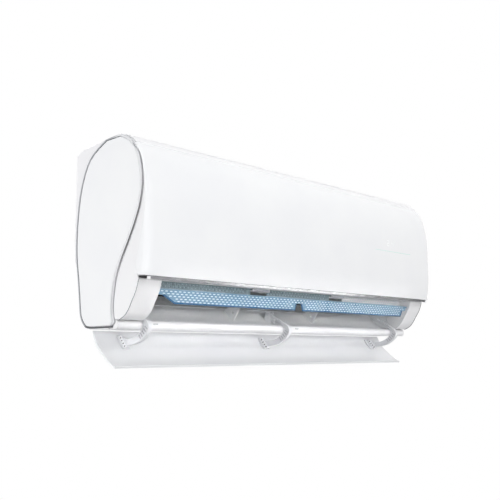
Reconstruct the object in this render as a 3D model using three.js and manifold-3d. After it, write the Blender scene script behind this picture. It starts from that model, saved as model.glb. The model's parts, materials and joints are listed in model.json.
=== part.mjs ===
// Mini split indoor unit: the wall-hung half of an air conditioner, with its outlet open.
//
// Millimetres. +X runs to the right of someone facing the unit, +Y into the wall, +Z up.
// The origin is the centre of the wall plate's back face, on the plane of the wall.
// Sections are drawn as [d, h]: d is the distance out from the wall and h is the height
// above the casing's underside. They stretch with DEPTH and HEIGHT.

import * as THREE from 'three';
import { mergeVertices } from 'three/addons/utils/BufferGeometryUtils.js';
import Module from 'manifold-3d';

const wasm = await Module();
wasm.setup();

// ---------------------------------------------------------------- driving dimensions

const WIDTH = 880; // over the silver side trims
const HEIGHT = 330; // of the casing, without the open flap
const DEPTH = 205; // out to the front panel

const WALL = 3; // moulded plastic wall
const GAP = 0.5; // between pieces that meet
const RUNNING_GAP = 0.4; // round a pin in its hole
const HIDDEN_GAP = 1.5; // round pieces that pass each other as they move

const TRIM_PROUD = 0.8; // the trim stands out from the end cap
const CASE_INSET = 3; // casing side behind the trim's outer face
const PANEL_INSET = 1; // front panel's flank behind the trim's outer face
const FLAP_INSET = 8; // flap's end behind the trim's outer face
const CAP_DEPTH = 5.5; // how far a cap and its trim reach in
const CAP_BEVEL = 1.3;
const TRIM_WIDE = 4.6; // the front branch of the trim
const TRIM_NARROW = 2.2; // the branch along the wall side

const OUTLET_INSET = 53; // outlet's side wall from the trim's outer face
const MOTOR_BAY = 150; // width of the bay at the right that holds motor and electrics
const TROUGH_INSET = 40; // where the pipe trough starts, from each end

const PANEL_EDGE_REACH = 13; // rounding of the panel's upright edges, along X
const PANEL_EDGE_DROP = 12; // and back from its front
const BEAD_RADIUS = 3.5; // hinge bead along the panel's top
const STRIP_HEIGHT = 4.6;

const FLAP_THICKNESS = 4.4;
const FLAP_EDGE = 2.6;
const FLAP_DROP = 1.8; // the open flap's wall-side edge below the casing
const ARM_WIDTH = 8;
const ARM_BOSS_RADIUS = 4.4;
const ARM_POCKET = 2.2; // how deep its side is hollowed
const ARM_RIM = 1.3; // left round the hollow
const ARM_FOOT = 8; // how far its foot reaches past it on one side
const FOOT_THICKNESS = 3;
const PIVOT_PIN_RADIUS = 2.5;
const RIB = 1.6; // thin ribs in the air duct

const LIP_RADIUS = 8;
const LOUVRE_THICKNESS = 2.6;
const LOUVRE_HEIGHT = 22;
const LOUVRE_STRIP = 8; // what is left above its cut-outs
const LOUVRE_LEAN = 13; // degrees from upright
const LOUVRE_PIN_RADIUS = 2;

const FAN_CLEARANCE = 7.7; // from the upper wall's edge
const FAN_BLADES = 14;
const FAN_RINGS = 1;
const BLADE_LENGTH = 11;
const BLADE_THICKNESS = 1.6;
const SHAFT_RADIUS = 4;
const HUB_RADIUS = 12;
const BEARING_RADIUS = 11;
const MOTOR_RADIUS = 33;
const MOTOR_LENGTH = 54;

const COIL_THICKNESS = 24;
const END_PLATE = 1.2;
const GAS_PIPE_RADIUS = 4.76;
const LIQUID_PIPE_RADIUS = 3.18;
const DRAIN_RADIUS = 8;

const FILTER_THICKNESS = 3;
const FILTER_SLOT = 6;
const GRILLE_COLUMNS = 10;
const PLATE_THICKNESS = 1.2;
const PLATE_FLANGE = 8;
const PLATE_INSET = 20; // from the ends of the chassis's recess
const PLATE_RISE = 16; // its lower edge above the recess's
const PLATE_LOWERED = 13; // its upper edge below the recess's
const BACK_D = PLATE_FLANGE + 2; // the chassis's rear wall, behind the plate

const VANE_THICKNESS = 2.4;
const VANE_PIN_RADIUS = 1.5;
const VANE_PIN_LENGTH = 5.6;
const LINK_PIN_RADIUS = 1.2;
const LINK_ARM = 16; // from a vane's pivot back to its link pin
const VANE_SWING = 30; // degrees each way
const BUTTON_RADIUS = 5;
const BOX_WALL = 2;
const BOARD_THICKNESS = 1.6;
const DISPLAY_HALF_HEIGHT = 17;

// ---------------------------------------------------------------- places along X

const END_X = WIDTH / 2;
const CASE_X = END_X - CASE_INSET;
const PANEL_X = END_X - PANEL_INSET;
const FLAP_X = END_X - FLAP_INSET;
const CAP_X = END_X - TRIM_PROUD;
const CAP_BACK_X = END_X - CAP_DEPTH;
const OUTLET_X = END_X - OUTLET_INSET;
const TROUGH_X = END_X - TROUGH_INSET;
const END_PANEL_X = CASE_X - 2 * WALL - 1;
const BAY_X = END_X - MOTOR_BAY + 6; // wall between fan and motor bay
const COIL_LEFT_X = -TROUGH_X + 6;
const COIL_RIGHT_X = BAY_X - 6;
const FAN_LEFT_X = -OUTLET_X + 15;
const FAN_RIGHT_X = BAY_X - 6;
const MOTOR_X = BAY_X + 16;
const ARM_X = [-OUTLET_X + ARM_WIDTH / 2 + HIDDEN_GAP, -16, OUTLET_X - ARM_WIDTH / 2 - 5];
const LOUVRE_X = OUTLET_X - 4;
const POST_X = [-118, 129];
const POST_HALF = 23;
const RIB_X = [-125, 122];
const BAYS = [
  { vanes: 4, from: -OUTLET_X + 46, to: POST_X[0] - POST_HALF - 29 },
  { vanes: 3, from: 12, to: 82 },
  { vanes: 4, from: POST_X[1] + POST_HALF + 38, to: OUTLET_X - 41 },
];
const VANE_X = BAYS.map(({ vanes, from, to }) => (
  Array.from({ length: vanes }, (_, i) => from + (to - from) * i / (vanes - 1))));
const BAY_NAMES = ['left', 'middle', 'right'];
const DISPLAY_X = [END_X - 228, END_X - 92];
const BUTTON_X = END_X - 100;
const GAS_NUT_X = -50;
const LIQUID_NUT_X = -10;

// ---------------------------------------------------------------- places in the section

// The panel's front and the casing's top, which set how far every section is stretched.
const PANEL_DRAWN = [
  [169, 308], [180, 296], [191, 272], [200, 238], [203.5, 206], [205, 160], [204.5, 125], [202, 100],
  [197.5, 85],
];
const TOP_DRAWN = [[0, 311], [12, 318], [40, 322], [97, 328], [125, 330]];
const depthScale = DEPTH / Math.max(...PANEL_DRAWN.map(([d]) => d));
const heightScale = HEIGHT / Math.max(...TOP_DRAWN.map(([, h]) => h));
const place = ([d, h]) => [d * depthScale, h * heightScale];
const places = (points) => points.map(place);
const distance = ([d0, h0], [d1, h1]) => Math.hypot(d1 - d0, h1 - h0);
const FAR = 2 * (DEPTH + HEIGHT); // past every piece

const FAN_AXIS = place([84, 136]);
const DUCT_TOP_EDGE = place([128.5, 106]);
const FAN_RADIUS = distance(FAN_AXIS, DUCT_TOP_EDGE) - FAN_CLEARANCE;
const MOTOR_BOTTOM = FAN_AXIS[1] - MOTOR_RADIUS;
const BAY_FLOOR = [[place([32, 0])[0], MOTOR_BOTTOM - 11], [place([124, 0])[0], MOTOR_BOTTOM + 2]];
const FLAP_AXIS = place([89.5, 38]);
const LIP_TOP = place([0, 15.4])[1];
const LIP_AXIS = [place([121, 0])[0], LIP_TOP - LIP_RADIUS];
const LOUVRE_AXIS = place([167, 66]);
const PANEL_AXIS = place([166, 307]);
const [VANE_D, VANE_TOP] = place([140, 98.5]); // the vanes' pivots, and where their pins leave them
const GAS_PIPE_D = BACK_D + WALL + GAS_PIPE_RADIUS + 2.7; // down the rear wall, clear of its curve
const LIQUID_PIPE_D = BACK_D + WALL + LIQUID_PIPE_RADIUS + 4;
const GAS_PIPE_AT = place([23, 58]); // the pipes' straight ends in the trough
const LIQUID_PIPE_AT = place([26, 34]);
const DISPLAY_H = place([0, 198])[1];
const BUTTON_AT = [place([178, 0])[0], place([0, 117])[1] + BUTTON_RADIUS + BOX_WALL];
const RECESS = [place([0, 121])[1], place([0, 300])[1]]; // behind the chassis, for the wall plate
const FRAME_SEAM = place([0, 100])[1]; // height where the face meets the outlet's frame

const smooth = (points, steps) => new THREE.SplineCurve(
  points.map(([d, h]) => new THREE.Vector2(d, h)),
).getPoints(steps).map((p) => [p.x, p.y]);

// Casing outline, clockwise from the top of the wall side.
const REAR_LINE = smooth(places([[0, 131], [8, 106], [14, 87], [19, 52], [22, 24], [36, 5], [54, 0]]), 14);
const TOP_LINE = smooth(places(TOP_DRAWN), 10);
const BROW_LINE = smooth(places([[125, 330], [142, 326.5], [154, 320], [161.4, 313]]), 6);
const FACE_LINE = smooth(places([
  [169, 300], [184, 278], [193, 243], [194.6, 206], [189.5, 174], [182.5, 142], [175, 110], [173, 95],
]), 16);
const SEAT_LINE = smooth(places([[180, 80], [174, 62], [164, 46], [154, 30.3], [144, 21], [131, 15.5]]), 10);

// The silver trim's centre line: a front branch shaped like a lazy S and a branch near the wall.
const TRIM_FRONT = smooth(places([
  [128, 328.5], [158, 313], [177.5, 284], [186, 244], [182, 208], [170, 176.5], [153, 145], [135, 115],
  [121.5, 86], [114.7, 51.5], [114.5, 28], [119, 12],
]), 36);
const TRIM_REAR = smooth(places([
  [112, 4], [54, 3.4], [38, 8], [26.5, 24], [22, 52], [17.3, 84], [9.5, 132], [9.3, 186], [18.5, 248],
  [43, 298.5], [89, 326],
]), 40);
const TRIM_LOOP = [...TRIM_FRONT, ...TRIM_REAR];

// The chassis's end panel, behind the end cap.
const END_PANEL = smooth(places([
  [14, 300], [60, 311], [112, 314], [146, 298], [163, 264], [166, 232], [150, 178], [124, 128], [104, 84],
  [98, 20], [60, 10], [34, 14], [24, 60], [14, 130],
]), 22);

// Front panel: its front and the rear edge of its flanks, top to bottom.
const PANEL_STEPS = 15;
const PANEL_FRONT = smooth(places(PANEL_DRAWN), PANEL_STEPS);
const PANEL_REAR = smooth(places([
  [168, 303], [177, 294], [187, 275], [194, 243], [195.6, 206], [190.5, 174], [183.5, 142], [176, 110],
  [175, 95], [182, 86],
]), PANEL_STEPS);

// Flap, closed: the face that lies on the casing, wall side first.
const FLAP_INNER = smooth(places([
  [134.4, 8.9], [146, 17.5], [156.5, 28], [166.5, 44], [176.5, 61], [184.5, 81],
]), 14);

// The flap's arms, open: the outer edge of the hook, from the neck round to the foot, and the
// corner inside it where the neck begins. The hook's inner edge runs round the pivot, past the lip.
const HOOK_OUTER = smooth(places([
  [133, 19], [139.5, 15.2], [144, 9.5], [145.3, 3], [142.5, -4], [136.5, -10.3], [127.5, -16.5],
  [117, -21.2], [104.5, -24.4], [90, -26], [76, -27],
]), 20);
const HOOK_CORNER = smooth(places([
  [131.4, 7], [130, 11.4], [126.8, 15.4], [120.5, 19.4], [110.2, 25.7],
]), 6);
const HOOK_RADIUS = distance(FLAP_AXIS, LIP_AXIS) + LIP_RADIUS + HIDDEN_GAP;

// Lower wall of the air duct, from behind the fan down to the outlet lip.
const SCROLL_UPPER = smooth(places([[32, 188], [25, 165], [23.5, 140], [26, 116], [31, 96]]), 8);
const SCROLL_LOWER = smooth(places([[31, 96], [38, 80], [50, 60], [66, 42], [90, 23], [107, 16.5]]), 10);

// ---------------------------------------------------------------- outline helpers

// Moves every point of a closed outline outwards, by one distance or one for each point.
function offset(outline, distance) {
  const area = outline.reduce((sum, [d, h], i) => {
    const [d2, h2] = outline[(i + 1) % outline.length];
    return sum + d * h2 - d2 * h;
  }, 0);
  return outline.map((point, i) => {
    const reach = Array.isArray(distance) ? distance[i] : distance;
    return moved(outline.at(i - 1), point, outline[(i + 1) % outline.length], reach * Math.sign(area));
  });
}

// Moves a point to the right of the way from its neighbour before to its neighbour after.
function moved(before, point, after, distance) {
  const a = new THREE.Vector2(point[0] - before[0], point[1] - before[1]).normalize();
  const b = new THREE.Vector2(after[0] - point[0], after[1] - point[1]).normalize();
  const along = a.clone().add(b).normalize();
  const stretch = Math.max(along.dot(b), 0.55);
  return [point[0] + along.y * distance / stretch, point[1] - along.x * distance / stretch];
}

// Moves an open line to its right. The ends move square to it.
function shift(line, distance) {
  return line.map((point, i) => {
    const before = line[i - 1] ?? [2 * point[0] - line[1][0], 2 * point[1] - line[1][1]];
    const last = line.length - 1;
    const after = line[i + 1] ?? [2 * point[0] - line[last - 1][0], 2 * point[1] - line[last - 1][1]];
    return moved(before, point, after, Array.isArray(distance) ? distance[i] : distance);
  });
}

const band = (line, right, left = 0) => [...shift(line, right), ...shift(line, left).reverse()];

function turned(points, [d0, h0], degrees) {
  const angle = THREE.MathUtils.degToRad(degrees);
  return points.map(([d, h]) => [
    d0 + (d - d0) * Math.cos(angle) - (h - h0) * Math.sin(angle),
    h0 + (d - d0) * Math.sin(angle) + (h - h0) * Math.cos(angle),
  ]);
}

const rectangle = (d0, d1, h0, h1) => [[d0, h0], [d1, h0], [d1, h1], [d0, h1]];

// Evenly spaced places from one side to the other.
const spaced = (count, half) => Array.from({ length: count }, (_, i) => half * (2 * i / (count - 1) - 1));

function disc([d, h], radius, sides) {
  return Array.from({ length: sides }, (_, i) => {
    const angle = 2 * Math.PI * (i + 0.5) / sides;
    return [d + radius * Math.cos(angle), h + radius * Math.sin(angle)];
  });
}

// Points round a centre between two angles, in degrees.
function arc([d, h], radius, from, to, steps) {
  return Array.from({ length: steps + 1 }, (_, i) => {
    const angle = THREE.MathUtils.degToRad(from + (to - from) * i / steps);
    return [d + radius * Math.cos(angle), h + radius * Math.sin(angle)];
  });
}

// ---------------------------------------------------------------- solid helpers

const SECTION_TO_WORLD = new THREE.Matrix4().makeBasis(
  new THREE.Vector3(0, -1, 0),
  new THREE.Vector3(0, 0, 1),
  new THREE.Vector3(-1, 0, 0),
).setPosition(0, 0, -HEIGHT / 2);

function solid(geometry) {
  const bare = new THREE.BufferGeometry();
  bare.setAttribute('position', geometry.getAttribute('position'));
  if (geometry.index) bare.setIndex(geometry.index);
  const merged = mergeVertices(bare, 1e-4);
  return new wasm.Manifold(new wasm.Mesh({
    numProp: 3,
    vertProperties: Float32Array.from(merged.getAttribute('position').array),
    triVerts: Uint32Array.from(merged.index.array),
  }));
}

function prism(outline, x0, x1) {
  const shape = new THREE.Shape(outline.map(([d, h]) => new THREE.Vector2(d, h)));
  const geometry = new THREE.ExtrudeGeometry(shape, { depth: x1 - x0, bevelEnabled: false });
  geometry.translate(0, 0, -x1);
  return solid(geometry.applyMatrix4(SECTION_TO_WORLD));
}

const join = (...solids) => solids.flat().reduce((sum, next) => sum.add(next));
const cut = (body, ...tools) => tools.flat().reduce((rest, tool) => rest.subtract(tool), body);
const block = (x0, x1, d0, d1, h0, h1) => prism(rectangle(d0, d1, h0, h1), x0, x1);
const rod = (centre, radius, x0, x1, sides = 20) => prism(disc(centre, radius, sides), x0, x1);
const bothEnds = (make) => [make(-1), make(1)];
const mirrored = (side, outline, near, far) => (
  side > 0 ? prism(outline, near, far) : prism(outline, -far, -near)
);

// A round post that stands upright, or lies along the depth.
function upright(radius, x, d, h0, h1, sides = 8) {
  const geometry = new THREE.CylinderGeometry(radius, radius, h1 - h0, sides);
  geometry.rotateX(Math.PI / 2).translate(x, -d, (h0 + h1) / 2 - HEIGHT / 2);
  return solid(geometry);
}

function outward(radius, x, h, d0, d1, sides = 16) {
  const geometry = new THREE.CylinderGeometry(radius, radius, d1 - d0, sides);
  geometry.translate(x, -(d0 + d1) / 2, h - HEIGHT / 2);
  return solid(geometry);
}

// A solid through outlines of equal length, each at its own X.
function loft(stations) {
  const flat = (outline) => outline.map(([d, h]) => new THREE.Vector2(d, h));
  const clockwise = THREE.ShapeUtils.isClockWise(flat(stations[0].outline));
  const outlines = stations.map(({ outline }) => (clockwise ? outline.slice().reverse() : outline));
  const count = outlines[0].length;
  const position = outlines.flatMap((outline, s) => (
    outline.flatMap(([d, h]) => [stations[s].x, -d, h - HEIGHT / 2])));
  const index = [];
  for (let s = 0; s + 1 < stations.length; s += 1) {
    for (let i = 0; i < count; i += 1) {
      const a = s * count + i;
      const b = s * count + (i + 1) % count;
      index.push(a, b, b + count, a, b + count, a + count);
    }
  }
  const last = (stations.length - 1) * count;
  for (const [a, b, c] of THREE.ShapeUtils.triangulateShape(flat(outlines[0]), [])) index.push(a, c, b);
  for (const [a, b, c] of THREE.ShapeUtils.triangulateShape(flat(outlines.at(-1)), [])) {
    index.push(last + a, last + b, last + c);
  }
  const geometry = new THREE.BufferGeometry();
  geometry.setAttribute('position', new THREE.Float32BufferAttribute(position, 3));
  geometry.setIndex(index);
  // The section's axes make a left-handed frame with X, so rising X turns the faces inwards.
  if (stations.at(-1).x > stations[0].x) {
    geometry.setIndex(index.map((_, i) => index[i - (i % 3) + [1, 0, 2][i % 3]]));
  }
  return solid(geometry);
}

function tube(radius, points, steps, sides) {
  const path = new THREE.CatmullRomCurve3(
    points.map(([x, d, h]) => new THREE.Vector3(x, -d, h - HEIGHT / 2)), false, 'chordal',
  );
  const ring = disc([0, 0], radius, sides).map(([x, y]) => new THREE.Vector2(x, y));
  return solid(new THREE.ExtrudeGeometry(new THREE.Shape(ring), { steps, extrudePath: path }));
}

// ---------------------------------------------------------------- materials

const material = (color, roughness, metalness = 0) => (
  new THREE.MeshStandardMaterial({ color, roughness, metalness }));
const GLOSS_WHITE = material(0xf1f3f4, 0.18);
const CASE_WHITE = material(0xe9eaea, 0.42);
const SILVER = material(0x8e9296, 0.22, 0.9);
const DARK_STRIP = material(0x2b2d30, 0.25, 0.5);
const LOUVRE_BLUE = material(0x3e6c8e, 0.3);
const DUCT_GREY = material(0xb9bcc2, 0.5);
const FAN_DARK = material(0x2a3437, 0.5);
const STEEL = material(0xb4b8bb, 0.35, 0.9);
const FIN_ALUMINIUM = material(0x9fb4bd, 0.4, 0.8);
const COPPER = material(0xb87149, 0.3, 0.9);
const BRASS = material(0xb59a55, 0.3, 0.9);
const BLACK_PLASTIC = material(0x1d1f21, 0.5);
const BOARD_GREEN = material(0x2f6b45, 0.5);

// ---------------------------------------------------------------- casing

const trimReach = (extra) => [
  ...TRIM_FRONT.map(() => TRIM_WIDE / 2 + extra),
  ...TRIM_REAR.map(() => TRIM_NARROW / 2 + extra),
];
const trimOuter = (extra = 0) => offset(TRIM_LOOP, trimReach(extra));
const trimInner = (extra = 0) => offset(TRIM_LOOP, trimReach(extra).map((reach) => -reach));

const CASE_OUTLINE = [
  ...REAR_LINE, place([118, 0]), place([130, 8]), ...SEAT_LINE.slice().reverse(), place([177, 88]),
  ...FACE_LINE.slice().reverse(), place([162, 303]), ...BROW_LINE.slice().reverse(),
  ...TOP_LINE.slice().reverse(),
];

// Where the caps and trims seat in the casing's ends.
const capPockets = () => bothEnds((side) => mirrored(side, trimOuter(GAP), CAP_BACK_X - GAP, END_X + 1));

function rearChassis() {
  const [rearLow, rearHigh] = [place([0, 122])[1], place([0, 312])[1]];
  const rearWall = block(-CAP_BACK_X + GAP, CAP_BACK_X - GAP, BACK_D, BACK_D + WALL, rearLow, rearHigh);
  const rim = prism(places([[0, 131], [0, 311], [WALL, 311], [WALL, 131]]), -CASE_X, CASE_X);
  const top = prism(band(TOP_LINE.slice(0, 4), WALL), -CASE_X, CASE_X);
  const bottomShelf = prism(places([
    [36, 5], [54, 0], [104, 0], [104, WALL], [55, WALL], [38, 8],
  ]), -CASE_X, CASE_X);
  const sides = bothEnds((side) => (
    mirrored(side, places([
      [0, 311], [60, 345], [118, 345], [118, 315], [60, 250], [60, 60], [104, 20], [104, -5], [0, -5],
    ]), CASE_X - WALL, CASE_X)
      .intersect(mirrored(side, CASE_OUTLINE, CASE_X - WALL, CASE_X))
  ));
  const endPanels = bothEnds((side) => join(
    mirrored(side, END_PANEL, END_PANEL_X, CASE_X - WALL),
    mirrored(side, CASE_OUTLINE, END_PANEL_X, CASE_X - WALL)
      .intersect(mirrored(side, places([[0, 0], [60, 0], [60, 340], [0, 340]]), 0, END_X)),
  ));
  const sideRims = bothEnds((side) => mirrored(side, band(REAR_LINE, 0, -WALL), END_PANEL_X, CASE_X));
  const topEnds = bothEnds((side) => mirrored(
    side, band(TOP_LINE.slice(3, 10), WALL), TROUGH_X + GAP, CASE_X,
  ));
  const rearEnds = bothEnds((side) => mirrored(side, band(REAR_LINE, 0, -WALL), TROUGH_X, CASE_X));
  const recess = block(-TROUGH_X, TROUGH_X, -1, BACK_D, ...RECESS);
  return cut(
    join(rearWall, rim, top, sides, endPanels, sideRims, topEnds, rearEnds, bottomShelf),
    capPockets(), recess,
  );
}

// The scroll behind the fan, the walls at its ends, the drip gutter and the motor's shelf.
function airDuct() {
  const rear = BACK_D + WALL + GAP;
  const left = -OUTLET_X - WALL;
  const guideUpper = prism(band(SCROLL_UPPER, 0, WALL), left, BAY_X);
  const guideLower = prism(band(SCROLL_LOWER, 0, WALL), left, OUTLET_X + WALL);
  const gutter = prism([
    [rear, 200], [rear, 186], [50, 186], [50, 199], [48, 199], [47, 190], [17, 190], [17, 200],
  ].map(([d, h]) => [d, place([0, h])[1]]), left, BAY_X);
  const floorUnderside = BAY_FLOOR.map(([d, h]) => [d, h - WALL]);
  const bayFloor = cut(
    prism([...BAY_FLOOR, ...floorUnderside.slice().reverse()], BAY_X, OUTLET_X + WALL),
    block(OUTLET_X - GAP, END_X, place([111, 0])[0], FAR, 0, HEIGHT),
  );
  const chamber = [
    [rear, place([0, 196])[1]], [rear, place([0, 124])[1]], ...shift(SCROLL_LOWER, WALL / 2),
    ...places([[111, 15.5], [111, 96]]),
  ];
  const leftWall = prism([
    ...chamber, ...places([[111, 107], [127, 110], [127, 160], [112, 186], [60, 196]]),
  ], left, -OUTLET_X);
  const rightWall = prism([...chamber, place([60, 100])], OUTLET_X, OUTLET_X + WALL);
  const bayWall = prism([
    [rear, place([0, 196])[1]], [rear, place([0, 122])[1]], place([24, 118]), ...floorUnderside,
    ...places([[126, 110], [126, 160], [112, 186], [60, 196]]),
  ], BAY_X, BAY_X + WALL);
  const ribFoot = WALL + GAP;
  const ribs = [left, -200, 0, 200, OUTLET_X].map((x) => prism([
    ...places([[66, 41], [90, 22], [103, 16]]), [place([103, 0])[0], ribFoot], [place([56, 0])[0], ribFoot],
    ...places([[52, 24], [60, 44]]),
  ], x, x + WALL));
  const dividers = RIB_X.map((x) => prism(
    places([[64, 42], [90, 21], [107, 47], [104, 58], [80, 52]]), x - RIB / 2, x + RIB / 2,
  ));
  const ears = [-1, 1].map((side) => {
    const x = ARM_X[1] + side * (ARM_WIDTH / 2 + HIDDEN_GAP + RIB / 2);
    return prism(places([[80, 29], [85, 42.6], [94, 42.6], [98, 19]]), x - RIB / 2, x + RIB / 2);
  });
  const bearingHole = rod(FAN_AXIS, BEARING_RADIUS - 3, left - 1, -OUTLET_X + 1);
  const shaftHole = rod(FAN_AXIS, HUB_RADIUS + HIDDEN_GAP, BAY_X - 1, BAY_X + WALL + 1);
  const pivotHole = rod(FLAP_AXIS, PIVOT_PIN_RADIUS + RUNNING_GAP, -END_X, END_X, 16);
  return cut(
    join(guideUpper, guideLower, gutter, bayFloor, leftWall, rightWall, bayWall, ribs, dividers, ears),
    bearingHole, shaftHole, pivotHole,
  );
}

// The face behind the front panel, with its two windows over the filters, and the brow.
function frontFrame() {
  const half = CASE_X - WALL - GAP;
  const brow = prism(band(BROW_LINE, WALL), -CASE_X, CASE_X);
  const browEnd = prism(places([[158.5, 315], [161.4, 313], [161.4, 302], [158.4, 300]]), -CASE_X, CASE_X);
  const face = prism(band([...places([[158.5, 301]]), ...FACE_LINE], WALL), -half, half);
  const windows = [[-TROUGH_X + 8, -8], [8, COIL_RIGHT_X - 4]].map(([x0, x1]) => block(
    x0, x1, place([150, 0])[0], place([200, 0])[0], place([0, 124])[1], place([0, 288])[1],
  ));
  const slots = filterSpans().map(([x0, x1]) => (
    prism(filterBand(FILTER_SLOT / 2, 250, 345), x0 - 2, x1 + 2)));
  const buttonHole = outward(
    BUTTON_RADIUS + RUNNING_GAP, BUTTON_X, BUTTON_AT[1], place([160, 0])[0], FAR,
  );
  const below = block(-END_X, END_X, 0, FAR, 0, FRAME_SEAM);
  return cut(join(brow, browEnd, face), windows, buttonHole, slots, capPockets(), below);
}

// The cheeks, the seats that the closed flap lies on, the outlet's jambs and the beam over it.
function outletFrame() {
  const beam = prism(places([
    [170.2, 98], [173, 97], [177, 88], [180, 80], [175, 79.5], [170.8, 83.5],
  ]), -CASE_X, CASE_X);
  const sides = bothEnds((side) => cut(
    mirrored(side, CASE_OUTLINE, CASE_X - WALL, CASE_X)
      .intersect(mirrored(
        side, rectangle(place([112, 0])[0], FAR, LIP_TOP + GAP, place([0, 296])[1]), 0, END_X,
      )),
    mirrored(side, rectangle(0, place([124, 0])[0] + GAP, HEIGHT / 2, FAR), CASE_X - WALL - 1, CASE_X + 1),
  ));
  const seats = bothEnds((side) => mirrored(side, band(SEAT_LINE, WALL), OUTLET_X, CASE_X));
  const jambs = bothEnds((side) => mirrored(side, [
    ...SEAT_LINE, [place([112, 0])[0], LIP_TOP + GAP],
    ...places([[112, 98], [127.6, 99], [127.6, 104], [128.2, 107], [170.4, 83.5], [176, 79.6]]),
  ], OUTLET_X, OUTLET_X + WALL));
  const aboveJambs = bothEnds((side) => mirrored(side, places([
    [128, 104], [128, 118], [169.6, 118], [169.6, 98], [171, 84], [168, 84],
  ]), OUTLET_X, OUTLET_X + WALL));
  const louvreHoles = rod(
    LOUVRE_AXIS, LOUVRE_PIN_RADIUS + RUNNING_GAP, -OUTLET_X - WALL - 1, OUTLET_X + WALL + 1, 12,
  );
  return cut(join(beam, sides, seats, jambs, aboveJambs), louvreHoles, capPockets());
}

function topGrille() {
  const line = TOP_LINE.slice(3, 10);
  const x0 = -TROUGH_X;
  const frame = prism(band(line, WALL), x0, TROUGH_X);
  const low = place([0, 290])[1];
  const pitch = 2 * TROUGH_X / GRILLE_COLUMNS;
  const cells = [];
  for (let i = 0; i < GRILLE_COLUMNS; i += 1) {
    const left = x0 + i * pitch + 4;
    cells.push(block(left, left + pitch - 8, line[0][0] + 8, line[0][0] + 34, low, FAR));
    cells.push(block(left, left + pitch - 8, line[0][0] + 40, line.at(-1)[0] - 8, low, FAR));
  }
  const slats = [19, 52, 64].map((step) => block(
    x0 + 4, TROUGH_X - 4, line[0][0] + step, line[0][0] + step + RIB, low, FAR,
  ).intersect(prism(band(line, WALL), x0, TROUGH_X)));
  const seam = block(-END_X, END_X, 0, line[0][0] + 2 * GAP, low, FAR);
  const front = block(-END_X, END_X, line.at(-1)[0] - GAP, FAR, low, FAR);
  return cut(join(cut(frame, cells), slats), seam, front);
}

function endCap(side) {
  const outline = trimInner(GAP);
  const stations = [[CAP_BACK_X, 0], [CAP_X - CAP_BEVEL, 0], [CAP_X, -CAP_BEVEL]];
  return loft(stations.map(([x, inset]) => (
    { x: side * x, outline: inset ? offset(outline, inset) : outline })));
}

function trim(side) {
  const inside = mirrored(side, offset(CASE_OUTLINE, -GAP), CAP_BACK_X, END_X);
  return cut(
    mirrored(side, trimOuter(), CAP_BACK_X, END_X),
    mirrored(side, trimInner(), CAP_BACK_X - 1, END_X + 1),
  ).intersect(inside);
}

// ---------------------------------------------------------------- front panel

// Sections of the panel, its upright edges rounded. An inset draws the hollow behind its front.
function panelStations(inset) {
  const steps = 5;
  const ends = Array.from({ length: steps + 1 }, (_, i) => {
    const angle = Math.PI / 2 * i / steps;
    const back = 1 - Math.cos(angle);
    const front = PANEL_FRONT.map(([d, h]) => (
      [d - back * Math.min(PANEL_EDGE_DROP, 0.8 * Math.max(d - depthAt(PANEL_REAR, h), 0)), h]));
    const rear = PANEL_REAR.map(([d, h]) => [d - 8 * inset, h]);
    return {
      x: PANEL_X - PANEL_EDGE_REACH + (PANEL_EDGE_REACH - inset) * Math.sin(angle),
      outline: [...shift(front, inset), ...rear.reverse()],
    };
  });
  return [...ends.map(({ x, outline }) => ({ x: -x, outline })).reverse(), ...ends];
}

function frontPanel() {
  const bead = rod(PANEL_AXIS, BEAD_RADIUS, -CASE_X + 1, CASE_X - 1, 16);
  const floor = PANEL_FRONT.at(-1)[1] + WALL;
  const hollow = loft(panelStations(WALL)).intersect(block(-END_X, END_X, 0, FAR, floor, HEIGHT));
  return join(cut(loft(panelStations(0)), hollow), bead);
}

// How far out a line that runs down is at a height.
function depthAt(line, height) {
  const i = Math.min(Math.max(line.findIndex(([, h]) => h <= height), 1), line.length - 1);
  const [[d0, h0], [d1, h1]] = [line[i - 1], line[i]];
  return d0 + (d1 - d0) * (height - h0) / (h1 - h0);
}

function panelStrip() {
  const top = PANEL_FRONT.at(-1)[1] - GAP;
  const [front] = PANEL_FRONT.at(-1);
  return prism([
    [front - 7, top], [front - 0.8, top], [front - 1.4, top - STRIP_HEIGHT], [front - 6, top - STRIP_HEIGHT],
  ], -PANEL_X + 8, PANEL_X - 8);
}

function displayBoard() {
  const top = DISPLAY_H + DISPLAY_HALF_HEIGHT;
  const front = depthAt(PANEL_FRONT, top) - WALL - GAP;
  return block(...DISPLAY_X, front - BOARD_THICKNESS, front, DISPLAY_H - DISPLAY_HALF_HEIGHT, top);
}

// ---------------------------------------------------------------- outlet

function outletLip() {
  const [d, h] = LIP_AXIS;
  const nose = rod(LIP_AXIS, LIP_RADIUS, -CASE_X + GAP, CASE_X - GAP, 28);
  const tail = prism([
    [place([104.6, 0])[0], 0], [d, h - LIP_RADIUS], [d, LIP_TOP],
    [place([108, 0])[0], LIP_TOP - GAP], place([108, 10]), place([104.6, 8]),
  ], -CASE_X + GAP, CASE_X - GAP);
  const hollow = prism(places([[108.5, -2], [118, -2], [118, 11.5], [110, 11.5]]), -OUTLET_X, OUTLET_X);
  const underHook = ARM_X.map((x) => block(
    x - ARM_WIDTH / 2 - HIDDEN_GAP, x + ARM_WIDTH / 2 + HIDDEN_GAP,
    place([119, 0])[0], FAR, LIP_TOP - 1.2, HEIGHT,
  ));
  const cheeks = bothEnds((side) => cut(
    mirrored(side, rectangle(0, FAR, -FAR, FAR), CASE_X - WALL - GAP, CASE_X),
    mirrored(
      side, rectangle(place([116, 0])[0], FAR, -FAR, LIP_TOP - 1), CASE_X - WALL - GAP - 1, CASE_X + 1,
    ),
  ));
  return cut(join(nose, tail), hollow, underHook, cheeks, capPockets());
}

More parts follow.
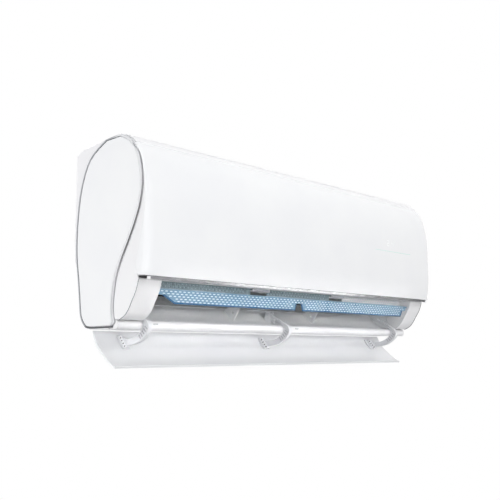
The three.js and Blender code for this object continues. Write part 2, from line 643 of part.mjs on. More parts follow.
function ductTop() {
  const profile = prism(places([
    [131, 121], [135, 121], [137, 109], [158, 107], [160, 117], [169, 117], [169.6, 97], [170, 84.4],
  ]).concat([DUCT_TOP_EDGE]), -OUTLET_X + GAP, OUTLET_X - GAP);
  const housings = POST_X.map((x) => prism(
    places([[131, 106], [134, 78], [158, 78], [160, 91]]), x - POST_HALF, x + POST_HALF,
  ));
  const sockets = VANE_X.flat().map((x) => upright(
    VANE_PIN_RADIUS + RUNNING_GAP, x, VANE_D, VANE_TOP - 6, VANE_TOP + VANE_PIN_LENGTH + 1,
  ));
  return cut(join(profile, housings), sockets);
}

function louvre() {
  const [d0, h0] = LOUVRE_AXIS;
  const t = LOUVRE_THICKNESS / 2;
  const blade = prism(turned(
    rectangle(d0 - t, d0 + t, h0 - LOUVRE_HEIGHT, h0 + 2), LOUVRE_AXIS, -LOUVRE_LEAN,
  ), -LOUVRE_X, LOUVRE_X);
  const pins = rod(LOUVRE_AXIS, LOUVRE_PIN_RADIUS, -OUTLET_X - WALL + GAP, OUTLET_X + WALL - GAP, 12);
  const barrel = pins.intersect(join(
    block(-END_X, -LOUVRE_X + 6, 0, FAR, 0, HEIGHT),
    block(LOUVRE_X - 6, END_X, 0, FAR, 0, HEIGHT),
  ));
  const past = 6; // the cutters' reach past the blade
  const cutouts = [
    [-LOUVRE_X - past, -LOUVRE_X - past, -LOUVRE_X + 12, -LOUVRE_X + 52],
    [ARM_X[1] - 7, ARM_X[1] - 8, ARM_X[1] + 11, ARM_X[1] + 22],
    [LOUVRE_X - 14, LOUVRE_X - 18, LOUVRE_X + past, LOUVRE_X + past],
  ].map((corners) => notch(corners, h0 - LOUVRE_STRIP, h0 - LOUVRE_HEIGHT - past, d0));
  return join(cut(blade, cutouts), barrel);
}

// A slanted cut-out seen from the front: left and right X at its top, then at its bottom.
function notch([topLeft, lowLeft, topRight, lowRight], top, low, d) {
  const shape = new THREE.Shape([
    new THREE.Vector2(topLeft, top), new THREE.Vector2(lowLeft, low),
    new THREE.Vector2(lowRight, low), new THREE.Vector2(topRight, top),
  ]);
  const geometry = new THREE.ExtrudeGeometry(shape, { depth: 60, bevelEnabled: false });
  geometry.rotateX(Math.PI / 2).translate(0, -d + 30, -HEIGHT / 2);
  return solid(geometry);
}

// The flap is drawn closed and turned open, until its wall-side edge hangs below the casing.
function flapTurn() {
  const [d, h] = FLAP_INNER[0];
  const closed = Math.atan2(h - FLAP_AXIS[1], d - FLAP_AXIS[0]);
  const open = -Math.PI + Math.asin((FLAP_AXIS[1] + FLAP_DROP) / distance(FLAP_AXIS, FLAP_INNER[0]));
  return THREE.MathUtils.radToDeg(closed - open);
}
const opened = (outline) => turned(outline, FLAP_AXIS, -flapTurn());

function flap() {
  const last = FLAP_INNER.length - 1;
  const bulge = FLAP_THICKNESS - FLAP_EDGE;
  const depth = FLAP_INNER.map((_, i) => FLAP_EDGE + bulge * Math.sin(Math.PI * i / last));
  return prism(opened([...FLAP_INNER, ...shift(FLAP_INNER, depth).reverse()]), -FLAP_X, FLAP_X);
}

// The arm's side view, or its hollow when inset.
function armSide(inset) {
  const outline = [
    place([90.8, 40.6]), place([110.3, 31.8]), ...HOOK_OUTER, place([58, -24]),
    ...arc(FLAP_AXIS, HOOK_RADIUS, -120, -38, 12), ...HOOK_CORNER, place([88.2, 35.4]),
  ];
  return inset ? offset(outline, -inset) : outline;
}

function hookArm(x, pinLeft, pinRight, footSide) {
  const [left, right] = [x - ARM_WIDTH / 2, x + ARM_WIDTH / 2];
  const shank = prism(armSide(0), left, right);
  const boss = rod(FLAP_AXIS, ARM_BOSS_RADIUS, left, right, 16);
  const beyondNeck = block(left - 1, left + ARM_POCKET, place([114, 0])[0], FAR, -FAR, FAR);
  const pocket = prism(armSide(ARM_RIM), left - 1, left + ARM_POCKET).intersect(join(
    beyondNeck, block(left - 1, left + ARM_POCKET, place([84, 0])[0], FAR, -FAR, 0),
  ));
  const pin = rod(FLAP_AXIS, PIVOT_PIN_RADIUS, left - pinLeft, right + pinRight, 16);
  const footX = x + footSide * ARM_FOOT / 2;
  const footLine = band(FLAP_INNER.slice(2, 8), -GAP, -GAP - FOOT_THICKNESS);
  const foot = prism(opened(footLine), footX - ARM_WIDTH, footX + ARM_WIDTH);
  const flapClear = prism(opened(band(FLAP_INNER, 40, -GAP)), -FLAP_X, FLAP_X);
  return cut(join(cut(join(shank, boss), pocket), pin, foot), flapClear);
}

// ---------------------------------------------------------------- vanes

function vane(x) {
  const blade = prism(
    places([[112, 62], [144, 62], [144, 94.5], [130, 100], [114, 84]]),
    x - VANE_THICKNESS / 2, x + VANE_THICKNESS / 2,
  );
  const foot = place([0, 62])[1];
  return join(
    blade,
    upright(VANE_PIN_RADIUS, x, VANE_D, VANE_TOP - 8, VANE_TOP + VANE_PIN_LENGTH),
    upright(LINK_PIN_RADIUS, x, VANE_D - LINK_ARM, foot - 6, foot + 4),
  );
}

function linkBar(spots) {
  const swing = THREE.MathUtils.degToRad(VANE_SWING);
  const dip = LINK_ARM * (1 - Math.cos(swing));
  const slip = LINK_ARM * (swing - Math.sin(swing));
  const pinD = VANE_D - LINK_ARM;
  const h = place([0, 62])[1] - GAP;
  const side = 3;
  const near = pinD - LINK_PIN_RADIUS - RUNNING_GAP;
  const far = pinD + dip + LINK_PIN_RADIUS + RUNNING_GAP;
  const half = LINK_PIN_RADIUS + slip + RUNNING_GAP;
  const bar = block(spots[0] - half - side, spots.at(-1) + half + side, near - side, far + side, h - 3, h);
  return cut(bar, spots.map((x) => block(x - half, x + half, near, far, h - 5, h + 2)));
}

// ---------------------------------------------------------------- fan and motor

function crossFlowFan() {
  const [d0, h0] = FAN_AXIS;
  const blades = Array.from({ length: FAN_BLADES }, (_, i) => {
    const inner = FAN_RADIUS - BLADE_LENGTH;
    const outline = [
      [inner, 0], [FAN_RADIUS - 0.6, 5], [FAN_RADIUS - 1.4, 5 + BLADE_THICKNESS], [inner, BLADE_THICKNESS],
    ].map(([d, h]) => [d0 + d, h0 + h]);
    return prism(turned(outline, FAN_AXIS, 360 * i / FAN_BLADES), FAN_LEFT_X + 1, FAN_RIGHT_X - 1);
  });
  const span = FAN_RIGHT_X - FAN_LEFT_X;
  const rings = Array.from({ length: FAN_RINGS }, (_, i) => {
    const x = FAN_LEFT_X + span * (i + 1) / (FAN_RINGS + 1);
    return cut(
      rod(FAN_AXIS, FAN_RADIUS, x - 1, x + 1, 32),
      rod(FAN_AXIS, FAN_RADIUS - BLADE_LENGTH - 2, x - 2, x + 2, 30),
    );
  });
  const ends = [
    rod(FAN_AXIS, FAN_RADIUS, FAN_LEFT_X, FAN_LEFT_X + 2, 32),
    rod(FAN_AXIS, FAN_RADIUS, FAN_RIGHT_X - 2, FAN_RIGHT_X, 32),
  ];
  const hub = rod(FAN_AXIS, HUB_RADIUS, FAN_RIGHT_X - 16, FAN_RIGHT_X, 20);
  const stub = rod(FAN_AXIS, SHAFT_RADIUS, -OUTLET_X + 1, FAN_LEFT_X + 4, 16);
  const bore = rod(FAN_AXIS, SHAFT_RADIUS + GAP, FAN_RIGHT_X - 14, FAN_RIGHT_X + 2, 16);
  return cut(join(blades, rings, ends, hub, stub), bore);
}

const motorShaft = () => rod(FAN_AXIS, SHAFT_RADIUS, FAN_RIGHT_X - 12, MOTOR_X + 4, 16);

function fanBearing() {
  return cut(
    rod(FAN_AXIS, BEARING_RADIUS, -OUTLET_X + 2, -OUTLET_X + 9),
    rod(FAN_AXIS, SHAFT_RADIUS + RUNNING_GAP, -OUTLET_X, -OUTLET_X + 12, 16),
  );
}

function bearingMount() {
  return cut(
    rod(FAN_AXIS, BEARING_RADIUS + 6, -OUTLET_X + GAP, -OUTLET_X + 9, 24),
    rod(FAN_AXIS, BEARING_RADIUS + GAP, -OUTLET_X + 1.6, -OUTLET_X + 12, 24),
    rod(FAN_AXIS, SHAFT_RADIUS + 2, -OUTLET_X, -OUTLET_X + 12, 16),
  );
}

function fanMotor() {
  const can = rod(FAN_AXIS, MOTOR_RADIUS, MOTOR_X + 8, MOTOR_X + MOTOR_LENGTH, 28);
  const boss = rod(FAN_AXIS, 13, MOTOR_X, MOTOR_X + MOTOR_LENGTH + 6, 20);
  return cut(join(can, boss), rod(FAN_AXIS, SHAFT_RADIUS + GAP, MOTOR_X - 1, MOTOR_X + 6, 16));
}

function motorClamp() {
  const x0 = MOTOR_X + 20;
  const x1 = MOTOR_X + 40;
  const [d, h] = FAN_AXIS;
  const floor = MOTOR_BOTTOM - 3.2;
  const strap = join(
    rod(FAN_AXIS, MOTOR_RADIUS + 3.4, x0, x1, 32),
    prism([[d - 40, floor - 4], [d + 36, floor + 2.4], [d + 34, h - 8], [d - 34, h - 8]], x0, x1),
  );
  const [near, far] = BAY_FLOOR;
  const slope = (far[1] - near[1]) / (far[0] - near[0]);
  const floorAt = (at) => near[1] + (at - near[0]) * slope + GAP;
  const underside = prism([[0, floorAt(0)], [FAR, floorAt(FAR)], [FAR, 0], [0, 0]], x0 - 1, x1 + 1);
  return cut(strap, rod(FAN_AXIS, MOTOR_RADIUS + GAP, x0 - 1, x1 + 1, 32), underside);
}

// ---------------------------------------------------------------- heat exchanger

const FILTER_LINE = places([[166.2, 120], [149.5, 316]]);

// How far out the filter's middle plane is at a height.
function filterAt(height) {
  const [[d, h], [dTop, hTop]] = FILTER_LINE;
  return d + (dTop - d) * (height - h) / (hTop - h);
}

function behindFilter(drawnHeight, gap) {
  const h = place([0, drawnHeight])[1];
  return [filterAt(h) - (FILTER_THICKNESS + COIL_THICKNESS) / 2 - gap, h];
}

const COIL_LINES = {
  coil_front_lower: [behindFilter(126, 1.2), behindFilter(204, 2.5)],
  coil_front_upper: places([[140.5, 214], [94, 294]]),
  coil_rear: places([[66, 287], [35, 208]]),
};

const coilSlab = (line) => prism(
  band(line, COIL_THICKNESS / 2, -COIL_THICKNESS / 2),
  COIL_LEFT_X + END_PLATE + GAP, COIL_RIGHT_X - END_PLATE - GAP,
);

function coilEndPlate(x0) {
  const spans = Object.values(COIL_LINES).map((line) => prism(
    band(line, COIL_THICKNESS / 2 - 1, 1 - COIL_THICKNESS / 2), x0, x0 + END_PLATE,
  ));
  const bridges = [
    prism(places([[134, 196], [152, 198], [150, 216], [130, 210]]), x0, x0 + END_PLATE),
    prism(places([[100, 290], [94, 301], [62, 296], [66, 280]]), x0, x0 + END_PLATE),
  ];
  return join(spans, bridges);
}

const gasPipe = () => tube(GAS_PIPE_RADIUS, [
  [COIL_RIGHT_X + 1, ...place([56, 244])], [COIL_RIGHT_X + 8, ...place([56, 244])],
  [BAY_X + 14, ...place([30, 216])], [BAY_X + 15, GAS_PIPE_D, place([0, 180])[1]],
  [BAY_X + 15, GAS_PIPE_D, place([0, 100])[1]], [BAY_X + 8, GAS_PIPE_D, place([0, 68])[1]],
  [BAY_X - 16, ...GAS_PIPE_AT], [BAY_X - 70, ...GAS_PIPE_AT],
  [GAS_NUT_X - 10, ...GAS_PIPE_AT],
], 28, 8);

const liquidPipe = () => tube(LIQUID_PIPE_RADIUS, [
  [COIL_RIGHT_X + 1, ...place([46, 222])], [COIL_RIGHT_X + 10, ...place([46, 222])],
  [BAY_X + 32, ...place([26, 200])], [BAY_X + 34, LIQUID_PIPE_D, place([0, 170])[1]],
  [BAY_X + 34, LIQUID_PIPE_D, place([0, 80])[1]],
  [BAY_X + 24, ...place([22, 46])], [BAY_X - 4, ...LIQUID_PIPE_AT], [BAY_X - 60, ...LIQUID_PIPE_AT],
  [LIQUID_NUT_X - 10, ...LIQUID_PIPE_AT],
], 28, 8);

function flareNut(centre, radius, bore, x) {
  return cut(rod(centre, radius, x - 8, x + 12, 6), rod(centre, bore + GAP, x - 10, x + 14, 16));
}

function drainPort() {
  const centre = place([19, 76]);
  const inner = -TROUGH_X + 4;
  const barrel = rod(centre, DRAIN_RADIUS, inner, inner + 40);
  const collar = rod(centre, DRAIN_RADIUS + 1.2, inner + 32, inner + 35);
  return cut(join(barrel, collar), rod(centre, DRAIN_RADIUS - BOX_WALL, inner - 4, inner + 56));
}

function coilSensor() {
  const [d, h] = place([150, 250]);
  return rod([d - 6, h + 12], 3, COIL_RIGHT_X + 3, COIL_RIGHT_X + 18, 12);
}

// ---------------------------------------------------------------- filters

function filterSpans() {
  const half = (COIL_RIGHT_X - 6 - (-TROUGH_X + 12) - 16) / 2;
  const left = -TROUGH_X + 12;
  return [[left, left + half], [left + half + 16, left + 2 * half + 16]];
}

// The filter's plane between two heights, as a band with the given half thickness.
function filterBand(half, h0, h1) {
  const ends = [h0, h1].map((height) => place([0, height])[1]);
  return band(ends.map((height) => [filterAt(height), height]), half, -half);
}

function filter([x0, x1]) {
  const plate = prism(filterBand(FILTER_THICKNESS / 2, 120, 316), x0, x1);
  const columns = 4;
  const rows = 4;
  const holes = [];
  const pitchX = (x1 - x0 - 8) / columns;
  const pitchH = place([0, 172])[1] / rows;
  for (let i = 0; i < columns; i += 1) {
    for (let j = 0; j < rows; j += 1) {
      const x = x0 + 4 + pitchX * i + 2;
      const h = place([0, 126])[1] + pitchH * j;
      holes.push(block(x, x + pitchX - 4, 0, FAR, h, h + pitchH - 5));
    }
  }
  return cut(plate, holes);
}

// ---------------------------------------------------------------- wall plate

function wallPlate() {
  const half = TROUGH_X - PLATE_INSET;
  const low = RECESS[0] + PLATE_RISE;
  const high = RECESS[1] - PLATE_LOWERED;
  const sheet = block(-half, half, 0, PLATE_THICKNESS, low, high);
  const flanges = [low, high - PLATE_THICKNESS].map((h) => (
    block(-half, half, 0, PLATE_FLANGE, h, h + PLATE_THICKNESS)));
  const slots = spaced(6, half - 80).map((x) => join(
    block(x - 10, x + 10, -1, PLATE_THICKNESS + 1, low + 64, low + 70),
    block(x - 3, x + 3, -1, PLATE_THICKNESS + 1, low + 98, low + 118),
  ));
  const holes = spaced(4, half - 140).map((x) => outward(4, x, low + 32, -1, PLATE_THICKNESS + 1));
  const hooks = spaced(2, half - 160).map((x) => join(
    block(x - 18, x + 18, 0, PLATE_FLANGE, high - 12, high - 12 + PLATE_THICKNESS),
    block(x - 18, x + 18, PLATE_FLANGE - PLATE_THICKNESS, PLATE_FLANGE, high - 12, high - 4),
  ));
  return join(cut(sheet, slots, holes), flanges, hooks);
}

// ---------------------------------------------------------------- electrics

const BOX_LOW = place([96, 184]);
const BOX_HIGH = place([156, 296]);
const BOX = {
  x0: BAY_X + 20, x1: CASE_X - 14, d0: BOX_LOW[0], d1: BOX_HIGH[0], h0: BOX_LOW[1], h1: BOX_HIGH[1],
};
const LEG_DROP = 44;
const LEG_DEPTH = 24;

function electricalBox() {
  const { x0, x1, d0, d1, h0, h1 } = BOX;
  const body = block(x0, x1, d0, d1, h0, h1);
  const inside = block(x0 + BOX_WALL, x1 - BOX_WALL, d0 + BOX_WALL, d1 + 1, h0 + BOX_WALL, h1 - BOX_WALL);
  const legX = BAY_X + WALL + GAP;
  const shelf = block(legX, x0 + BOX_WALL, d0, d0 + LEG_DEPTH, h0, h0 + BOX_WALL);
  const leg = block(legX, legX + BOX_WALL, d0, d0 + LEG_DEPTH, h0 - LEG_DROP, h0 + BOX_WALL);
  return join(cut(body, inside), shelf, leg);
}

function boxLid() {
  const { x0, x1, d1, h0, h1 } = BOX;
  return block(x0, x1, d1 + GAP, d1 + GAP + BOX_WALL, h0, h1);
}

function controlBoard() {
  const { x0, x1, d0, h0, h1 } = BOX;
  return block(x0 + 6, x1 - 6, d0 + 12, d0 + 12 + BOARD_THICKNESS, h0 + 6, h1 - 6);
}

function terminalBlock() {
  const { x0, d0, h0 } = BOX;
  const x = x0 + 12;
  const d = d0 + 12 + BOARD_THICKNESS + GAP;
  const body = block(x, x + 62, d, d + 16, h0 + 10, h0 + 30);
  const cells = [0, 1, 2, 3, 4].map((i) => {
    const left = x + 4 + 11.4 * i;
    return block(left, left + 8, d + 8, d + 17, h0 + 14, h0 + 26);
  });
  return cut(body, cells);
}

function emergencyButton() {
  const [d, h] = BUTTON_AT;
  const cap = outward(BUTTON_RADIUS, BUTTON_X, h, d - 6, d + 6);
  return join(cap, outward(BUTTON_RADIUS + 2, BUTTON_X, h, d - 9, d - 6));
}

// ---------------------------------------------------------------- assembly

const unit = new THREE.Group();
unit.name = 'mini_split_indoor_unit';

function piece(name, body, look) {
  const { vertProperties, triVerts } = body.getMesh();
  const geometry = new THREE.BufferGeometry();
  geometry.setAttribute('position', new THREE.BufferAttribute(vertProperties, 3));
  geometry.setIndex(new THREE.BufferAttribute(triVerts, 1));
  geometry.computeVertexNormals();
  const mesh = new THREE.Mesh(geometry, look);
  mesh.name = name;
  unit.add(mesh);
}

piece('wall_plate', wallPlate(), STEEL);
piece('rear_chassis', rearChassis(), CASE_WHITE);
piece('air_duct', airDuct(), DUCT_GREY);
piece('front_frame', frontFrame(), CASE_WHITE);
piece('outlet_frame', outletFrame(), CASE_WHITE);
piece('top_grille', topGrille(), CASE_WHITE);
for (const [side, word] of [[-1, 'left'], [1, 'right']]) {
  piece(`${word}_end_cap`, endCap(side), GLOSS_WHITE);
  piece(`${word}_trim`, trim(side), SILVER);
}
piece('front_panel', frontPanel(), GLOSS_WHITE);
piece('panel_strip', panelStrip(), DARK_STRIP);
piece('display_board', displayBoard(), BOARD_GREEN);
piece('outlet_lip', outletLip(), CASE_WHITE);
piece('duct_top', ductTop(), DUCT_GREY);
piece('louvre', louvre(), LOUVRE_BLUE);
piece('flap', flap(), GLOSS_WHITE);
piece('flap_arm_left', hookArm(ARM_X[0], 4, 0, 1), CASE_WHITE);
piece('flap_arm_middle', hookArm(ARM_X[1], 4, 4, 1), CASE_WHITE);
piece('flap_arm_right', hookArm(ARM_X[2], 0, 7, -1), CASE_WHITE);
VANE_X.forEach((spots, bay) => {
  spots.forEach((x, i) => piece(`vane_${BAY_NAMES[bay]}_${i + 1}`, vane(x), DUCT_GREY));
  piece(`vane_link_${BAY_NAMES[bay]}`, linkBar(spots), BLACK_PLASTIC);
});
piece('cross_flow_fan', crossFlowFan(), FAN_DARK);
piece('motor_shaft', motorShaft(), STEEL);
piece('fan_bearing', fanBearing(), BLACK_PLASTIC);
piece('bearing_mount', bearingMount(), CASE_WHITE);
piece('fan_motor', fanMotor(), STEEL);
piece('motor_clamp', motorClamp(), CASE_WHITE);
for (const [name, line] of Object.entries(COIL_LINES)) piece(name, coilSlab(line), FIN_ALUMINIUM);
piece('coil_end_plate_left', coilEndPlate(COIL_LEFT_X), STEEL);
piece('coil_end_plate_right', coilEndPlate(COIL_RIGHT_X - END_PLATE), STEEL);
piece('gas_pipe', gasPipe(), COPPER);
piece('liquid_pipe', liquidPipe(), COPPER);
piece('gas_flare_nut', flareNut(GAS_PIPE_AT, 11, GAS_PIPE_RADIUS, GAS_NUT_X), BRASS);
piece('liquid_flare_nut', flareNut(LIQUID_PIPE_AT, 8.5, LIQUID_PIPE_RADIUS, LIQUID_NUT_X), BRASS);
piece('drain_port', drainPort(), BLACK_PLASTIC);
piece('coil_sensor', coilSensor(), COPPER);
filterSpans().forEach((span, i) => piece(`filter_${BAY_NAMES[2 * i]}`, filter(span), BLACK_PLASTIC));
piece('electrical_box', electricalBox(), BLACK_PLASTIC);
piece('box_lid', boxLid(), CASE_WHITE);
piece('control_board', controlBoard(), BOARD_GREEN);
piece('terminal_block', terminalBlock(), BLACK_PLASTIC);
piece('emergency_button', emergencyButton(), CASE_WHITE);
piece('flap_motor', rod(FLAP_AXIS, 13, OUTLET_X + WALL + 4, OUTLET_X + WALL + 22), STEEL);
piece('louvre_motor', rod(place([160, 70]), 9, OUTLET_X + WALL + 2, OUTLET_X + WALL + 17), STEEL);

export default unit;
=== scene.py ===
"""Mini split indoor unit: the looks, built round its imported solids.

Metres. +X runs to the right of someone facing the unit, +Y into the wall, +Z up. Sections
are drawn in millimetres as (d, h): d out from the wall, h above the casing's underside.
"""
import json
import math

import bmesh
import bpy
from mathutils import Matrix, Vector
from mathutils.bvhtree import BVHTree


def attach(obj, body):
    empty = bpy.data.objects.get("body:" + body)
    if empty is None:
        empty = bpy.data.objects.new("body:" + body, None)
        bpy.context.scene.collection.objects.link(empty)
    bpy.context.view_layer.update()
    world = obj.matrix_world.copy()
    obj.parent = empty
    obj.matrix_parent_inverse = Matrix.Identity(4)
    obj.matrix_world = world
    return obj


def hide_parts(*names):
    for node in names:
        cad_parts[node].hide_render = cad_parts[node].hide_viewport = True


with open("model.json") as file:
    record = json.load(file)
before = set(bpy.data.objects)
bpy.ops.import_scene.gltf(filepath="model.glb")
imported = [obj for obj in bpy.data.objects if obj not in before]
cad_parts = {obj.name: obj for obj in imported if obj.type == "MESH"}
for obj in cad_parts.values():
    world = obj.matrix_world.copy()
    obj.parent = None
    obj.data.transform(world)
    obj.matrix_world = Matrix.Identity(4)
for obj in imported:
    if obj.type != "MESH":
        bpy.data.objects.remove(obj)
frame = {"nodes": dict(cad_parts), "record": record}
NODES = frame["nodes"]
BODY = {node: body for body, members in frame["record"]["behaviour"]["bodies"].items() for node in members}
SLOT = {part["node"]: part["material_slot"] for part in frame["record"]["subparts"]}
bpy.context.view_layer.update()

MM = 0.001
HALF_HEIGHT = 165.0  # the origin's height above the casing's underside


def at(x, d, h):
    """A point from millimetres along X, out from the wall and above the underside."""
    return Vector((x * MM, -d * MM, (h - HALF_HEIGHT) * MM))


def length_of(line):
    (d0, h0), (d1, h1) = line
    return math.hypot(d1 - d0, h1 - h0)


def on_line(line, run, out):
    """A place on a section: so far up a line, and out from it on the side away from the wall."""
    (d0, h0), (d1, h1) = line
    length = length_of(line)
    ad, ah = (d1 - d0) / length, (h1 - h0) / length
    return d0 + ad * run + ah * out, h0 + ah * run - ad * out


# ---- objects and nodes


def add_object(name, data):
    """A new object in the scene."""
    made = bpy.data.objects.new(name, data)
    bpy.context.scene.collection.objects.link(made)
    return made


def connect(tree, made, inputs):
    """Links a node's inputs to sockets, or sets them to values, by name or number."""
    for key, value in inputs.items():
        if isinstance(value, bpy.types.NodeSocket):
            tree.links.new(value, made.inputs[key])
        else:
            made.inputs[key].default_value = value
    return made.outputs


def add_node(tree, kind, inputs, **settings):
    """Adds a node to a tree and gives its outputs."""
    made = tree.nodes.new(kind)
    for key, value in settings.items():
        setattr(made, key, value)
    return connect(tree, made, inputs)


# ---- camera, floor and light

# Solved from the straight lines of the casing in the photograph.
CAMERA_PLACE = (-1.2272, -1.1630, -0.1986)
CAMERA_YAW = 43.0
CAMERA_PITCH = 7.302
FOCAL_PIXELS = 777.42
PHOTO_PIXELS = 500.0
SENSOR = 36.0
FLOOR_DROP = 1.95  # the unit hangs this far above the floor
FLOOR_HALF = 6.0
FLOOR_PAINT = (0.5, 0.5, 0.51, 1.0)
SKY = {"Color": (0.985, 0.99, 1.0, 1.0), "Strength": 0.27}
WHITE = {"Color": (1.0, 1.0, 1.0, 1.0), "Strength": 1.0}
LAMPS = {
    # name: (place, aim, size, watts, spread in degrees)
    "front": ((-0.2, -2.7, -0.1), (0.0, -0.1, -0.1), (2.4, 0.9), 22.0, 180),
    "front_high": ((0.2, -2.3, 1.15), (0.0, -0.1, -0.1), (2.4, 0.6), 20.0, 180),
    "outlet_fill": ((-0.03, -0.9, -0.1), (-0.02, -0.08, -0.138), (0.76, 0.05), 0.1, 14),
    "left": ((-2.5, 0.5, -0.05), (0.0, -0.1, 0.0), (1.4, 1.4), 28.0, 180),
    "left_front": ((-2.0, -1.7, -0.3), (0.0, -0.1, -0.1), (0.8, 0.8), 10.5, 180),
    "right": ((2.5, 0.4, 0.1), (0.0, -0.1, 0.0), (1.4, 1.4), 16.0, 180),
    "top": ((0.0, 0.0, 2.3), (0.0, -0.1, 0.0), (2.4, 1.2), 20.0, 180),
    "back": ((0.3, 2.6, 0.6), (0.0, -0.1, 0.0), (2.4, 1.4), 36.0, 180),
}


def facing(direction):
    """The turn that points a camera or a lamp along a direction."""
    return direction.to_track_quat("-Z", "Y").to_euler()


def set_camera():
    camera = bpy.data.cameras.new("camera")
    camera.sensor_width = SENSOR
    camera.lens = FOCAL_PIXELS * SENSOR / PHOTO_PIXELS
    camera.clip_end = 50.0
    yaw, pitch = math.radians(CAMERA_YAW), math.radians(CAMERA_PITCH)
    seat = add_object("camera", camera)
    seat.location = CAMERA_PLACE
    seat.rotation_euler = facing(
        Vector((math.cos(yaw) * math.cos(pitch), math.sin(yaw) * math.cos(pitch), math.sin(pitch))))
    bpy.context.scene.camera = seat


def white_when_seen(tree, lit, white, output):
    """Pure white to camera, glossy and transmission rays, and `lit` to all others."""
    path = add_node(tree, "ShaderNodeLightPath", {})
    seen = path["Is Camera Ray"]
    for ray in ("Is Glossy Ray", "Is Transmission Ray"):
        seen = add_node(tree, "ShaderNodeMath", {0: seen, 1: path[ray]}, operation="MAXIMUM")[0]
    inputs = {"Fac": seen, 1: lit, 2: add_node(tree, white, WHITE)[0]}
    add_node(tree, output, {"Surface": add_node(tree, "ShaderNodeMixShader", inputs)[0]})


def set_world():
    world = bpy.data.worlds.new("studio")
    bpy.context.scene.world = world
    world.use_nodes = True
    tree = world.node_tree
    tree.nodes.clear()
    lit = add_node(tree, "ShaderNodeBackground", SKY)[0]
    white_when_seen(tree, lit, "ShaderNodeBackground", "ShaderNodeOutputWorld")


def set_floor():
    plate = bmesh.new()
    bmesh.ops.create_grid(plate, x_segments=1, y_segments=1, size=FLOOR_HALF)
    bmesh.ops.translate(plate, verts=plate.verts, vec=(0, 0, -FLOOR_DROP))
    mesh = bpy.data.meshes.new("floor")
    plate.to_mesh(mesh)
    plate.free()
    floor = add_object("floor", mesh)
    look = bpy.data.materials.new("floor")
    look.use_nodes = True
    tree = look.node_tree
    tree.nodes.clear()
    paint = add_node(tree, "ShaderNodeBsdfDiffuse", {"Color": FLOOR_PAINT})[0]
    white_when_seen(tree, paint, "ShaderNodeEmission", "ShaderNodeOutputMaterial")
    mesh.materials.append(look)


def set_lamps():
    for name, (place, aim, size, watts, spread_angle) in LAMPS.items():
        lamp = bpy.data.lights.new(name, "AREA")
        lamp.shape = "RECTANGLE"
        lamp.size, lamp.size_y = size
        lamp.energy = watts
        lamp.spread = math.radians(spread_angle)
        holder = add_object(name, lamp)
        holder.location = place
        holder.rotation_euler = facing(Vector(aim) - Vector(place))
        holder.visible_camera = False
        holder.visible_glossy = False


# ---- finishes


def linear(red, green, blue):
    """A colour as a screen shows it, 0 to 255, as scene values."""
    values = [c / 255.0 for c in (red, green, blue)]
    return tuple(c / 12.92 if c <= 0.04045 else ((c + 0.055) / 1.055) ** 2.4 for c in values) + (1.0,)


def start_finish(name):
    """A new material, its tree and the coordinates that its texture is drawn by."""
    look = bpy.data.materials.new(name)
    look.use_nodes = True
    return look, look.node_tree, add_node(look.node_tree, "ShaderNodeTexCoord", {})["Object"]


def end_finish(look, inputs):
    connect(look.node_tree, look.node_tree.nodes["Principled BSDF"], inputs)
    return look


def noise(tree, place, scale, detail=3.0, roughness=0.5, stretch=None):
    """A cloudy value from 0 to 1, drawn out to streaks where it is stretched."""
    if stretch:
        place = add_node(tree, "ShaderNodeMapping", {"Vector": place, "Scale": stretch})["Vector"]
    inputs = {"Vector": place, "Scale": scale, "Detail": detail, "Roughness": roughness}
    return add_node(tree, "ShaderNodeTexNoise", inputs)["Fac"]


def spread(tree, source, low, high, start=0.3, end=0.7):
    """Runs a value that goes from start to end between two others."""
    return add_node(tree, "ShaderNodeMapRange", {
        "Value": source, "From Min": start, "From Max": end, "To Min": low, "To Max": high})["Result"]


def colours(tree, source, stops):
    """Colours along a value: at least two stops of (position, colour)."""
    ramp = tree.nodes.new("ShaderNodeValToRGB")
    bands = ramp.color_ramp.elements
    for band, (position, colour) in ((bands[0], stops[0]), (bands[1], stops[-1])):
        band.position = position
        band.color = colour
    for position, colour in stops[1:-1]:
        bands.new(position).color = colour
    return connect(tree, ramp, {"Fac": source})["Color"]


def two_tone(tree, source, first, second, start=0.35, end=0.65):
    return colours(tree, source, ((start, first), (end, second)))


def blend(tree, factor, first, second):
    """One colour passing into another."""
    return add_node(tree, "ShaderNodeMix", {"Factor": factor, 6: first, 7: second}, data_type="RGBA")[2]


def raised(tree, source, strength, distance):
    """A surface that rises and falls with a value."""
    inputs = {"Height": source, "Strength": strength, "Distance": distance}
    return add_node(tree, "ShaderNodeBump", inputs)["Normal"]


def moulded_plastic(name, light, dark, rough, grain, depth, coat=0.0):
    """Moulded plastic: a faint cloud in its colour, a fine grain, and gloss that varies with it."""
    look, tree, place = start_finish(name)
    cloud = noise(tree, place, 9.0, 4.0)
    smear = noise(tree, place, 28.0)
    grit = noise(tree, place, grain, 2.0)
    return end_finish(look, {
        "Base Color": two_tone(tree, cloud, dark, light),
        "Roughness": spread(tree, smear, rough - 0.04, rough + 0.05),
        "Normal": raised(tree, grit, depth, 0.00004),
        "IOR": 1.49, "Coat Weight": coat, "Coat Roughness": 0.06,
    })


def drawn_metal(name, light, dark, rough, stretch, scale, metal):
    """Rolled, drawn or brushed metal, with streaks along one direction."""
    look, tree, place = start_finish(name)
    streak = noise(tree, place, scale, 4.0, 0.6, stretch)
    return end_finish(look, {
        "Base Color": two_tone(tree, streak, dark, light),
        "Roughness": spread(tree, streak, rough - 0.06, rough + 0.1),
        "Normal": raised(tree, streak, 0.25, 0.00005), "Metallic": metal,
    })


